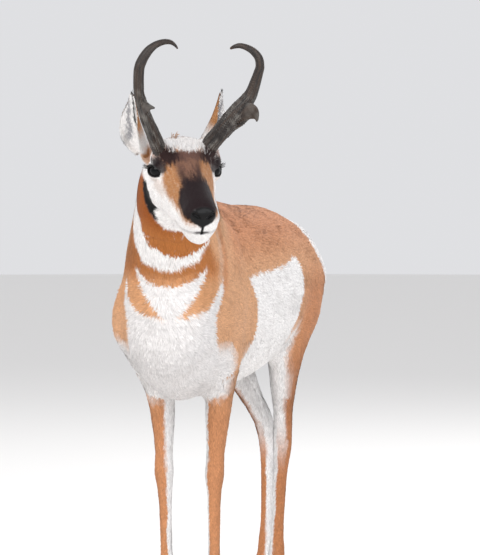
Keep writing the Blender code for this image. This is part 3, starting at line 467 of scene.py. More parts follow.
def coatColour(points, normals, labels):
    colours = bodyColours(points, normals)
    head = toHead(points)
    marked = isMarkedHead(labels, head)
    below = (labels == labelOf["neck"]) & (edge("jawBack", head[:, 2]) > head[:, 1]) & ~marked
    below = below & (head[:, 2] < -0.10) & (head[:, 2] > -0.215)
    colours[marked] = headColours(points[marked])
    colours[below] = paints["russet"]
    for node in earSpots:
        here = labels == labelOf[node]
        colours[here] = earColours(points[here], normals[here], node)
    tail = labels == labelOf["tail"]
    if tail.any():
        colours[tail] = paints["white"]
        high = ramp(points[tail, 2], points[tail, 2].min() + 0.05, points[tail, 2].max())
        dark = 0.5 * high * fall(np.abs(points[tail, 0] - midline), 0.004, 0.016)
        colours[tail] = blend(colours[tail], "back", dark)
    return colours


# Tools for meshes.
def arrayOf(items, name, width, kind=np.float32):
    found = np.empty(len(items) * width, kind)
    items.foreach_get(name, found)
    return found.reshape(-1, width)


def pointsOf(mesh):
    return arrayOf(mesh.vertices, "co", 3).astype(float)


def normalsOf(mesh):
    return arrayOf(mesh.vertex_normals, "vector", 3).astype(float)


def edgesOf(mesh):
    return arrayOf(mesh.edges, "vertices", 2, np.int32)


def trianglesOf(mesh):
    mesh.calc_loop_triangles()
    return arrayOf(mesh.loop_triangles, "vertices", 3, np.int32)


def store(items, name, values, kind=np.float32):
    items.foreach_set(name, np.ascontiguousarray(values, kind).ravel())


def setPoints(mesh, points):
    store(mesh.vertices, "co", points)
    mesh.update()


def meshOf(points, faces, name):
    # A mesh from arrays: faces is an array of triangles or of quads.
    mesh = bpy.data.meshes.new(name)
    count, sides = faces.shape
    mesh.vertices.add(len(points))
    store(mesh.vertices, "co", points)
    mesh.loops.add(count * sides)
    store(mesh.loops, "vertex_index", faces, np.int32)
    mesh.polygons.add(count)
    store(mesh.polygons, "loop_start", np.arange(0, count * sides, sides), np.int32)
    mesh.update(calc_edges=True)
    store(mesh.polygons, "use_smooth", np.ones(count), bool)
    return mesh


def ringQuads(levels, sides, closed=False):
    # Quads between rings of points that follow each other, and back to the first ring where closed.
    i, j = np.meshgrid(np.arange(levels if closed else levels - 1), np.arange(sides), indexing="ij")
    here, after, beside = i * sides, (i + 1) % levels * sides, (j + 1) % sides
    return np.stack([here + j, here + beside, after + beside, after + j], axis=-1).reshape(-1, 4)


def halved(quads):
    return quads[:, [0, 1, 2, 0, 2, 3]].reshape(-1, 3)


def fromForm(form, name):
    mesh = bpy.data.meshes.new(name)
    form.to_mesh(mesh)
    form.free()
    return mesh


def merged(node):
    form = bmesh.new()
    form.from_mesh(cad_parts[node].data)
    bmesh.ops.remove_doubles(form, verts=form.verts, dist=1e-5)
    return fromForm(form, node + "Copy")


def facedOut(mesh):
    form = bmesh.new()
    form.from_mesh(mesh)
    bmesh.ops.recalc_face_normals(form, faces=form.faces)
    form.to_mesh(mesh)
    form.free()
    return mesh


def shown(mesh, name):
    piece = bpy.data.objects.new(name, mesh)
    bpy.context.scene.collection.objects.link(piece)
    return piece


def applied(helper):
    # The helper's mesh with its modifiers applied. The helper goes.
    made = bpy.data.meshes.new_from_object(helper.evaluated_get(bpy.context.evaluated_depsgraph_get()))
    bpy.data.objects.remove(helper)
    return made


def remeshed(mesh, voxel):
    helper = shown(mesh, "helper")
    modifier = helper.modifiers.new("remesh", "REMESH")
    modifier.mode = "VOXEL"
    modifier.voxel_size = voxel
    return applied(helper)


def smoothed(points, edges, weights, rounds, shrink=0.5, swell=-0.53):
    degree = np.bincount(edges.ravel(), minlength=len(points)).astype(float)
    first, second = edges.T
    for k in range(rounds):
        pull = shrink if k % 2 == 0 else swell
        mean = np.empty_like(points)
        for axis in range(3):
            column = points[:, axis]
            total = np.bincount(first, column[second], len(points)) + np.bincount(second, column[first], len(points))
            mean[:, axis] = total / degree
        points = points + (mean - points) * (pull * weights)[:, None]
    return points


def layColours(mesh, colours, name="coat"):
    # A linear colour for each point.
    full = np.ones((len(mesh.vertices), 4))
    full[:, :3] = colours
    store(mesh.color_attributes.new(name, "FLOAT_COLOR", "POINT").data, "color", full)


def dress(mesh, name, material, slot, *replaced):
    # A finished piece: its look, the body that it rides on, the nodes that it replaces, and its slot, which is not
    # used.
    mesh.materials.clear()
    mesh.materials.append(material)
    store(mesh.polygons, "use_smooth", np.ones(len(mesh.polygons)), bool)
    piece = shown(mesh, name)
    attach(piece, "root")
    if replaced:
        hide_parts(*replaced)


# The skin: the flesh nodes as one closed surface, drawn in by the coat's depth. It is firm where the
# solids carry small forms.
skinPlan = {
    "voxel": 0.0019,
    "grow": 0.0004,
    "earGrow": 0.0007,
    "triangles": 185000,
    "firm": {"head": 0.12, "ear": 0.35, "leg": 0.6},
    "rounds": 14,
    "napeRounds": 60,
    "lastRounds": 4,
    # the last value darkens the skin's colours: painted shade under the coat
    "underCoatShade": 0.94,
}


def withoutLocks(points):
    # The neck's upper side, brought down to its own rounded shape under the mane's locks.
    share, place, ways = onNeckLine(points)
    lift = unit(neckUp - ways * (ways @ neckUp)[:, None])
    side = np.cross(ways, lift)
    away = points - place[:, :3]
    a = (away * side).sum(1) / place[:, 3]
    b = (away * lift).sum(1) / place[:, 4]
    reach = np.sqrt(a * a + b * b)
    most = 1.02 + 0.12 * fall(share, 0.15, 0.35) + 0.10 * ramp(share, 0.80, 1.0)
    over = (b > 0.15) & (reach > most)
    pull = np.where(over, 1 - most / np.maximum(reach, 1e-6), 0)
    inPlane = side * (a * place[:, 3])[:, None] + lift * (b * place[:, 4])[:, None]
    return points - inPlane * pull[:, None]


allPoints, allFaces, faceLabels, base = [], [], [], 0
for number, node in enumerate(fleshNodes):
    copy = merged(node)
    points = pointsOf(copy)
    if node == "neck":
        points = withoutLocks(points)
        setPoints(copy, points)
    points = points + normalsOf(copy) * skinPlan["earGrow" if node.startswith("ear") else "grow"]
    faces = trianglesOf(copy)
    allPoints.append(points)
    allFaces.append(faces + base)
    faceLabels.append(np.full(len(faces), number))
    base += len(points)
allPoints, allFaces, faceLabels = np.vstack(allPoints), np.vstack(allFaces), np.concatenate(faceLabels)
body = remeshed(meshOf(allPoints, allFaces, "flesh"), skinPlan["voxel"])
fleshTree = BVHTree.FromPolygons(allPoints.tolist(), allFaces.tolist())


def labelsOf(points):
    return np.array([faceLabels[fleshTree.find_nearest(p)[2]] for p in points.tolist()])


# The eyes' place, the ball's radius, and the opening between the lids with its shares above and below.
eyePlan = {
    "side": 0.0515,
    "height": -0.002,
    "radius": 0.0225,
    "width": 0.036,
    "opening": 0.022,
    "lids": (0.58, 0.42),
    "slant": 0.10,
    "gaze": (0.76, -0.64, 0.11),
    "front": 0.30,
}


def eyeAxes(side):
    # In the room's frame: the eye's middle, the way it looks, the way to its front corner, and up across it.
    gaze = unit(np.array(eyePlan["gaze"]) * (side, 1, 1))
    front = np.array((0.0, -1.0, eyePlan["front"]))
    front = unit(front - gaze * (front @ gaze))
    up = np.cross(front, gaze) * side
    if (up @ headAxes.T)[2] < 0:
        up = -up
    middle = fromHead(np.array((side * eyePlan["side"], 0.0, eyePlan["height"])))
    return middle, gaze @ headAxes.T, front @ headAxes.T, up @ headAxes.T


def eyeCloseness(points):
    # 1 on the edge of the opening between the lids, less inside it; and the distance from the nearer eye.
    spread, far = np.full(len(points), 9.0), np.full(len(points), 1.0)
    for side in (-1, 1):
        middle, gaze, front, up = eyeAxes(side)
        away = points - middle
        f, u, g = away @ front, away @ up, away @ gaze
        u = u + eyePlan["slant"] * f
        half = np.where(u > 0, *eyePlan["lids"]) * eyePlan["opening"]
        own = np.sqrt((f / (eyePlan["width"] / 2)) ** 2 + (u / half) ** 2)
        distance = np.linalg.norm(away, axis=1)
        spread = np.where(distance < far, np.where(g > 0, own, 9.0), spread)
        far = np.minimum(far, distance)
    return spread, far


# Zones of the coat: length and width of a tuft, its lift, how deep the skin lies, how often tufts overlap.
zones = {
    "body": (0.0145, 0.0026, 0.105, 0.0030, 2.7),
    "rump": (0.0170, 0.0028, 0.120, 0.0045, 2.8),
    "chest": (0.0135, 0.0021, 0.080, 0.0028, 3.0),
    "neck": (0.0125, 0.0020, 0.085, 0.0026, 3.0),
    "ruffle": (0.0180, 0.0026, 0.230, 0.0034, 2.8),
    "nape": (0.0240, 0.0036, 0.300, 0.0030, 2.4),
    "cheek": (0.0072, 0.0015, 0.120, 0.0014, 2.5),
    "under": (0.0062, 0.0014, 0.080, 0.0010, 2.5),
    "brow": (0.0075, 0.0013, 0.260, 0.0006, 2.6),
    "face": (0.0052, 0.0013, 0.130, 0.0007, 2.2),
    "muzzle": (0.0030, 0.0012, 0.130, 0.0003, 1.4),
    "crown": (0.0120, 0.0016, 0.480, 0.0028, 3.0),
    "upperLeg": (0.0110, 0.0024, 0.140, 0.0022, 2.3),
    "lowerLeg": (0.0068, 0.0021, 0.120, 0.0010, 1.6),
    "earBack": (0.0052, 0.0016, 0.090, 0.0004, 1.8),
    "earInside": (0.0070, 0.0013, 0.090, 0.0004, 2.0),
    "tail": (0.0260, 0.0036, 0.260, 0.0030, 2.6),
}


def coatMeasures(points, normals, labels):
    # One row of zone values for each point, blended where zones meet.
    values, lay = layers(zones, "body", len(points))
    _, y, z = (points - marksShift).T
    lay("chest", ramp(-y, 0.20, 0.30) * fall(z, 0.72, 0.80))
    lay("neck", ramp(-y, 0.22, 0.34) * ramp(z, 0.70, 0.78))
    lay("nape", ramp(-y, 0.16, 0.24) * ramp(normals[:, 2], 0.45, 0.8) * ramp(z, 0.82, 0.86))
    lay("rump", ramp(y - edge("rump", z), -0.03, 0.0) * (z > 0.50))
    lay("ruffle", 0.9 * ruffled(points))
    lay("upperLeg", isLeg(labels) * fall(z, 0.50, 0.62))
    lay("lowerLeg", isLeg(labels) * fall(z, 0.28, 0.44))
    across, along, up = toHead(points).T
    out = np.abs(across)
    near = isMarkedHead(labels, toHead(points)).astype(float)
    lay("cheek", near)
    lay("face", near * ramp(up + 0.22 * out, -0.012, 0.016) * fall(along, -0.02, 0.02))
    lay("face", near * ramp(-along, 0.07, 0.12))
    lay("under", near * ramp(-up, 0.055, 0.080))
    lay("muzzle", near * ramp(-along, 0.14, 0.18))
    lay("crown", near * ramp(along, -0.028, -0.016) * ramp(up, 0.018, 0.034) * (out < 0.056))
    spread, far = eyeCloseness(points)
    lay("muzzle", fall(far, 0.027, 0.038))
    brow = np.linalg.norm(np.column_stack([out - 0.060, along + 0.018, up - 0.026]), axis=1)
    lay("brow", near * fall(brow, 0.010, 0.017) * (spread > 1.3))
    for node in earSpots:
        here = (labels == labelOf[node]).astype(float)
        lay("earBack", here)
        lay("earInside", here * ramp(normals @ earPlaces(points, node)[2], 0.0, 0.3))
    lay("tail", (labels == labelOf["tail"]).astype(float))
    return values


def drawnIn(points, normals, labels):
    # How deep the skin lies under the solids: nothing beside the eyes, horns, nose, lips and hooves.
    depth = coatMeasures(points, normals, labels)[:, 3]
    head = toHead(points)
    for side in (-1, 1):
        horn = np.linalg.norm((head - (side * 0.046, 0.005, 0.035)) * (1, 1, 0.7), axis=1)
        depth = depth * ramp(horn, 0.024, 0.040)
    depth = depth * ramp(eyeCloseness(points)[1], 0.029, 0.042)
    depth = depth * ramp(np.linalg.norm(head - (0, -0.205, -0.01), axis=1), 0.030, 0.060)
    return depth * ramp(points[:, 2], 0.055, 0.12)


def buildSkin(mesh):
    points = pointsOf(mesh)
    labels = labelsOf(points)
    edges = edgesOf(mesh)
    head = toHead(points)
    firm = np.array([skinPlan["firm"].get(node.split("_")[0], 1.0) for node in fleshNodes])
    points = smoothed(points, edges, firm[labels], skinPlan["rounds"])
    # The nape, where the solid's locks were, is smoothed more.
    above = (labels == labelOf["neck"]) | (labels == labelOf["torso"]) & (points[:, 1] < -0.10)
    above = above | (labels == labelOf["head"]) & (head[:, 1] > 0.045) & (head[:, 2] > 0.0)
    nape = above * ramp(normalsOf(mesh)[:, 2], -0.2, 0.4) * ramp(points[:, 2], 0.78, 0.82)
    local = np.where(nape > 0.01)[0]
    chosen = edges[(nape[edges[:, 0]] > 0.01) & (nape[edges[:, 1]] > 0.01)]
    renumber = np.full(len(points), -1)
    renumber[local] = np.arange(len(local))
    points[local] = smoothed(points[local], renumber[chosen], nape[local], skinPlan["napeRounds"], 0.6, 0.6)
    setPoints(mesh, points)
    normals = normalsOf(mesh)
    points = points - normals * drawnIn(points, normals, labels)[:, None]
    onHead = labels == labelOf["head"]
    setPoints(mesh, smoothed(points, edges, np.where(onHead, 0.1, 0.6), skinPlan["lastRounds"]))
    # All but the head is thinned out to the wanted count.
    helper = shown(mesh, "fullSkin")
    helper.vertex_groups.new(name="plain").add(np.where(~onHead)[0].tolist(), 1.0, "REPLACE")
    thin = helper.modifiers.new("thin", "DECIMATE")
    thin.vertex_group = "plain"
    thin.vertex_group_factor = 1.0
    thin.ratio = skinPlan["triangles"] / (2 * len(mesh.polygons))
    return applied(helper)


skinMesh = buildSkin(body)
skinPoints = pointsOf(skinMesh)
skinTriangles = trianglesOf(skinMesh)
skinMesh = meshOf(skinPoints, skinTriangles, "skin")
skinNormals = normalsOf(skinMesh)
skinLabels = labelsOf(skinPoints)
print("skin", len(skinTriangles), "triangles", np.bincount(skinLabels[skinTriangles[:, 0]]))


# Materials. Each reads its colour from the mesh, through one shader group of fine strands.
def newMaterial(name, values):
    material = bpy.data.materials.new(name)
    material.use_nodes = True
    shader = material.node_tree.nodes["Principled BSDF"]
    for key, value in values.items():
        shader.inputs[key].default_value = value
    return material, material.node_tree, shader


def addNode(tree, kind, values=None, **settings):
    node = tree.nodes.new("ShaderNode" + kind)
    for key, value in settings.items():
        setattr(node, key, value)
    for key, value in (values or {}).items():
        node.inputs[key].default_value = value
    return node


def strandGrain():
    # Fine strand noise in the colour, and a height for the bump.
    group = bpy.data.node_groups.new("furGrain", "ShaderNodeTree")
    group.interface.new_socket("Color", in_out="INPUT", socket_type="NodeSocketColor")
    for name in ("Size", "Depth"):
        group.interface.new_socket(name, in_out="INPUT", socket_type="NodeSocketFloat")
    group.interface.new_socket("Color", in_out="OUTPUT", socket_type="NodeSocketColor")
    group.interface.new_socket("Height", in_out="OUTPUT", socket_type="NodeSocketFloat")
    start, end = group.nodes.new("NodeGroupInput"), group.nodes.new("NodeGroupOutput")
    place = addNode(group, "TexCoord")
    noise = addNode(group, "TexNoise", {"Detail": 3.0})
    centred = addNode(group, "Math", {1: 0.5}, operation="SUBTRACT")
    change = addNode(group, "Math", {2: 1.0}, operation="MULTIPLY_ADD")
    scaled = addNode(group, "VectorMath", operation="SCALE")
    join = group.links.new
    join(place.outputs["Object"], noise.inputs["Vector"])
    join(start.outputs["Size"], noise.inputs["Scale"])
    join(noise.outputs["Fac"], centred.inputs[0])
    join(centred.outputs[0], change.inputs[0])
    join(start.outputs["Depth"], change.inputs[1])
    join(start.outputs["Color"], scaled.inputs[0])
    join(change.outputs[0], scaled.inputs["Scale"])
    join(scaled.outputs[0], end.inputs["Color"])
    join(noise.outputs["Fac"], end.inputs["Height"])
    return group


grain = strandGrain()


def grainMaterial(name, attribute, size, depth, bump, values):
    # The bump is its strength and its height in metres.
    material, tree, shader = newMaterial(name, values)
    colour = addNode(tree, "Attribute", attribute_name=attribute)
    strands = addNode(tree, "Group", {"Size": size, "Depth": depth}, node_tree=grain)
    height = addNode(tree, "Bump", {"Strength": bump[0], "Distance": bump[1]})
    tree.links.new(colour.outputs["Color"], strands.inputs["Color"])
    tree.links.new(strands.outputs["Color"], shader.inputs["Base Color"])
    tree.links.new(strands.outputs["Height"], height.inputs["Height"])
    tree.links.new(height.outputs["Normal"], shader.inputs["Normal"])
    return material, tree, shader, strands


furLooks = {"Roughness": 0.74, "Specular IOR Level": 0.16, "Sheen Weight": 0.04, "Sheen Roughness": 0.5}
wetLooks = {"roughness": 0.34, "film": 0.07, "filmRoughness": 0.22}
skinMaterial = grainMaterial("shortCoat", "coat", 700.0, 0.30, (0.5, 0.0006), furLooks)[0]
coatMaterial = grainMaterial("coatTufts", "coat", 420.0, 0.16, (0.15, 0.0006), furLooks)[0]


def addWetness(material):
    # The nose pad and the eyes' rims shine: roughness and coat weight follow the skin's own attribute.
    tree = material.node_tree
    shader = tree.nodes["Principled BSDF"]
    wet = addNode(tree, "Attribute", attribute_name="wet")
    rough = addNode(tree, "MapRange", {"To Min": furLooks["Roughness"], "To Max": wetLooks["roughness"]})
    film = addNode(tree, "Math", {1: wetLooks["film"]}, operation="MULTIPLY")
    tree.links.new(wet.outputs["Fac"], rough.inputs["Value"])
    tree.links.new(rough.outputs["Result"], shader.inputs["Roughness"])
    tree.links.new(wet.outputs["Fac"], film.inputs[0])
    tree.links.new(film.outputs[0], shader.inputs["Coat Weight"])
    shader.inputs["Coat Roughness"].default_value = wetLooks["filmRoughness"]


addWetness(skinMaterial)


def furless(points):
    # 1 where the skin is bare: the nose pad, the eyes' rims and the open eye.
    pad = np.linalg.norm((toHead(points) - nosePad) / (0.028, 0.024, 0.022), axis=1)
    spread, far = eyeCloseness(points)
    return np.maximum(fall(pad, 0.95, 1.1), (spread < 1.22) & (far < 0.030))


def skinColours(points, normals, labels):
    # The markings, their edges a little shifted, with dark rims round the eyes.
    wander = np.where(labels == labelOf["head"], 0.0006, 0.0022)[:, None]
    shift = np.column_stack([waves(points, 0.018), waves(points, 0.016, 4), waves(points, 0.02, 8)])
    colours = coatColour(points + wander * shift, normals, labels)
    spread, far = eyeCloseness(points)
    low = toHead(points)[:, 2] < eyePlan["height"] - 0.002
    rim = fall(spread, np.where(low, 1.06, 1.14), np.where(low, 1.20, 1.42)) * (far < 0.031)
    return blend(colours, "black", rim)


# The skin's colours are darkened a little: painted shade under the coat's tufts.
layColours(skinMesh, skinColours(skinPoints, skinNormals, skinLabels) * skinPlan["underCoatShade"])
store(skinMesh.attributes.new("wet", "FLOAT", "POINT").data, "value", furless(skinPoints))
dress(skinMesh, "skin", skinMaterial, "coat", *fleshNodes)
print("skin dressed")


# The coat. The lie of the hair, as a way along the skin at each point.
def layOf(points, normals, labels):
    _, y, z = (points - marksShift).T
    across, along, up = toHead(points).T
    ways = np.tile((0.0, 1.0, -0.34), (len(points), 1))
    neck = (ramp(-y, 0.20, 0.32) * ramp(z, 0.70, 0.80) * (labels <= labelOf["neck"]))[:, None]
    ways = ways * (1 - neck) + (unit(-onNeckLine(points)[2]) + (0, 0.1, -0.25)) * neck
    legs = (isLeg(labels) * fall(z, 0.50, 0.62))[:, None]
    ways = ways * (1 - legs) + np.array((0.0, 0.12, -1.0)) * legs
    back = np.tile((0.0, 1.0, -0.22), (len(points), 1))
    back[:, 2] -= 0.5 * ramp(np.abs(across), 0.03, 0.06) * ramp(-up, 0.0, 0.04)
    back[:, 2] += 0.6 * ramp(along, -0.024, -0.005) * ramp(up, 0.018, 0.034)
    onHead = labels == labelOf["head"]
    ways[onHead] = back[onHead] @ headAxes.T
    for node in earSpots:
        ways[labels == labelOf[node]] = earPlaces(points, node)[3]
    ways[labels == labelOf["tail"]] = (0.0, 0.15, -1.0)
    # Whirls and small swings, so that the hair doesn't lie like combed wire.
    ways = unit(ways - normals * (ways * normals).sum(1)[:, None])
    return turnedBy(ways, normals, 0.28 * waves(points, 0.16, 2) + 0.14 * waves(points, 0.05, 7))


def turnedBy(ways, normals, angle):
    return unit(ways * np.cos(angle)[:, None] + np.cross(normals, ways) * np.sin(angle)[:, None])


def areasOf(triangles):
    a, b, c = skinPoints[triangles].transpose(1, 0, 2)
    return np.linalg.norm(np.cross(b - a, c - a), axis=1) / 2


def scattered(triangles, weights, rng):
    # Evenly spread places on those triangles of the skin: which triangle, the place and the normal.
    total = np.cumsum(areasOf(triangles) * weights)
    count = int(total[-1])
    marks = (np.arange(count) + rng.random(count)) / count * total[-1]
    which = np.searchsorted(total, marks).clip(0, len(triangles) - 1)
    a, b = rng.random(count), rng.random(count)
    flip = a + b > 1
    a[flip], b[flip] = 1 - a[flip], 1 - b[flip]
    share = np.column_stack([1 - a - b, a, b])[:, :, None]
    corners = triangles[which]
    return which, (skinPoints[corners] * share).sum(1), unit((skinNormals[corners] * share).sum(1))


def finishHair(mesh, faces, shading, colours, patches, spots):
    # Shading that follows the skin, a colour for each point, and a patch on the map OFBake for each tuft.
    store(mesh.attributes.new("custom_normal", "FLOAT_VECTOR", "POINT").data, "vector", shading)
    layColours(mesh, colours.reshape(-1, 3).clip(0, 1))
    flat = (patches[:, None, :] + spots[None]).reshape(-1, 2)
    store(mesh.uv_layers.new(name="OFBake").data, "uv", flat[faces.ravel()])
    return mesh


tuftPlan = {
    "sunk": 0.22,
    "back": 0.04,
    "swell": 0.36,
    "thick": 0.12,
    "turn": 0.17,
    "lift": (0.6, 1.4),
    "length": (0.7, 1.25),
    "stray": 0.11,
    "tone": 0.090,
    "bend": 0.198,
    "patch": 0.0015,
    "most": 48000,
    "lowest": 0.030,
}


def tuftMesh(name, roots, normals, ways, measures, colours, patches, rng):
    # Each tuft is a closed blade that leaves the skin, bends over and ends in a point: four points, four triangles.
    count = len(roots)
    length, width, lift = measures.T[:3]
    ways = turnedBy(ways, normals, rng.normal(0, tuftPlan["turn"], count))
    across = unit(np.cross(normals, ways))
    lift = lift * rng.uniform(*tuftPlan["lift"], count)
    length = length * rng.uniform(*tuftPlan["length"], count)

    def along(share):
        rise = lift * share * (1.25 - 0.55 * share)
        return roots + (ways * share + normals * rise[:, None]) * length[:, None]

    start = roots - normals * (tuftPlan["sunk"] * width)[:, None] - ways * (tuftPlan["back"] * length)[:, None]
    middle = along(tuftPlan["swell"]) + normals * (width * tuftPlan["thick"])[:, None]
    half = across * (width / 2)[:, None]
    points = np.stack([start, middle - half, middle + half, along(1.0)], axis=1).reshape(-1, 3)
    pattern = np.array(((0, 1, 2), (3, 2, 1), (0, 3, 1), (0, 2, 3)))
    faces = (np.arange(count)[:, None, None] * 4 + pattern).reshape(-1, 3)
    bend = across * tuftPlan["bend"]
    shading = unit(np.stack([normals, normals - bend, normals + bend, normals + ways * 0.25], axis=1))
    # The root is darker with painted shade from the tufts over it, the tip a little lighter.
    shades = colours[:, None] * np.array((0.92, 1.0, 1.0, 1.04))[:, None]
    spots = np.array(((0, -1), (-0.8, -0.2), (0.8, -0.2), (0, 1))) * tuftPlan["patch"]
    return finishHair(meshOf(points, faces, name), faces, shading, shades, patches, spots)


def patchesOf(points, kind):
    # Places on an unwrap of the skin's own shape, from 0.02 to 0.98.
    x, y, z = (points - marksShift).T
    across, along, up = toHead(points).T
    apart = 7.0
    flat = np.zeros((len(points), 2))
    if kind == "body":
        dx, dz = x - midline, z - 0.69
        ends = 0.8 * np.sign(y - 0.05) * np.maximum(0, 0.17 - np.hypot(dx, dz))
        flat = np.column_stack([np.arctan2(dx, dz), y + ends])
    elif kind == "neck":
        way = unit(neckLine[4, :3] - neckLine[1, :3])
        lift = unit(neckUp - way * (way @ neckUp))
        away = points - onNeckLine(points)[1][:, :3]
        flat = np.column_stack([np.arctan2(away @ np.cross(way, lift), away @ lift), points @ way])
    elif kind == "head":
        front = 0.8 * (along < -0.06) * np.maximum(0, 0.04 - np.hypot(across, up + 0.03))
        flat = np.column_stack([np.arctan2(across, up + 0.03), along - front])
    elif kind == "legs":
        for number, (sx, sy) in enumerate(((1, -1), (-1, -1), (1, 1), (-1, 1))):
            here = (np.sign(x - midline) == sx) & (np.sign(y - 0.12) == sy)
            bins = np.clip((z[here] / 0.03).astype(int), 0, 30)
            held = np.maximum(np.bincount(bins, minlength=31), 1)
            middleX, middleY = (np.bincount(bins, values[here], 31) / held for values in (x, y))
            angle = np.arctan2(x[here] - middleX[bins], y[here] - middleY[bins])
            flat[here] = np.column_stack([number * apart + angle, z[here]])
    else:
        for number, node in enumerate(earSpots):
            share, aside, opening, _ = earPlaces(points, node)
            here = np.sign(across) == earSpots[node][2]
            depth = (points - fromHead(np.array(earSpots[node][0]))) @ opening
            flat[here] = np.column_stack([number * apart + np.arctan2(aside, depth - 0.004), share])[here]
    low, high = flat.min(0), flat.max(0)
    return 0.02 + 0.96 * (flat - low) / np.maximum(high - low, 1e-6)


def onRump(points, labels):
    _, y, z = (points - marksShift).T
    return (labels == labelOf["tail"]) | ((labels == labelOf["torso"]) & (y > edge("rump", z)) & (z > 0.50))


# Name, unwrap and slot of each piece of the coat, and the nodes whose skin carries it.
coatPieces = (
    ("coatBody", "body", "coat", ("torso",)),
    ("coatNeck", "neck", "coat", ("neck",)),
    ("coatHead", "head", "coat", ("head",)),
    ("coatLegs", "legs", "coat", [node for node in fleshNodes if node.startswith("leg")]),
    ("coatEars", "ears", "coat", tuple(earSpots)),
    ("coatRump", "body", "rump_hair", ("torso", "tail")),
)


def growCoat():
    total = 0
    triangleLabels = skinLabels[skinTriangles[:, 0]]
    for name, kind, slot, nodes in coatPieces:
        rng = np.random.default_rng(len(name) + 7)
        wanted = np.isin(triangleLabels, [labelOf[node] for node in nodes])
        chosen, own = skinTriangles[wanted], triangleLabels[wanted]
        middle, facing = skinPoints[chosen].mean(1), unit(skinNormals[chosen].mean(1))
        length, width, _, _, overlap = coatMeasures(middle, facing, own).T
        weights = overlap / (length * width * 0.5) * (1 - furless(middle))
        which, roots, normals = scattered(chosen, weights, rng)
        labels = own[which]
        keep = (furless(roots) < 0.5) & (roots[:, 2] > tuftPlan["lowest"])
        if kind == "body":
            keep = keep & (onRump(roots, labels) == (name == "coatRump"))
        roots, normals, labels = roots[keep], normals[keep], labels[keep]
        measures = coatMeasures(roots, normals, labels)
        ways = layOf(roots, normals, labels)
        spot = roots + rng.normal(0, 1, roots.shape) * (measures[:, 0] * tuftPlan["stray"])[:, None]
        light = 1 + rng.normal(0, tuftPlan["tone"], len(roots))
        colours = skinColours(spot, normals, labels) * light.clip(0.75, 1.2)[:, None]
        patches = patchesOf(roots, kind)
        parts = max(1, math.ceil(len(roots) / tuftPlan["most"]))
        for part in range(parts):
            now = slice(part * len(roots) // parts, (part + 1) * len(roots) // parts)
            pieceName = name if parts == 1 else f"{name}{part + 1}"
            hair = (roots[now], normals[now], ways[now], measures[now], colours[now], patches[now])
            dress(tuftMesh(pieceName, *hair, rng), pieceName, coatMaterial, slot)
        total += len(roots)
        print(name, len(roots), "tufts in", parts)
    print("coat", total, "tufts", total * 4, "triangles")


growCoat()


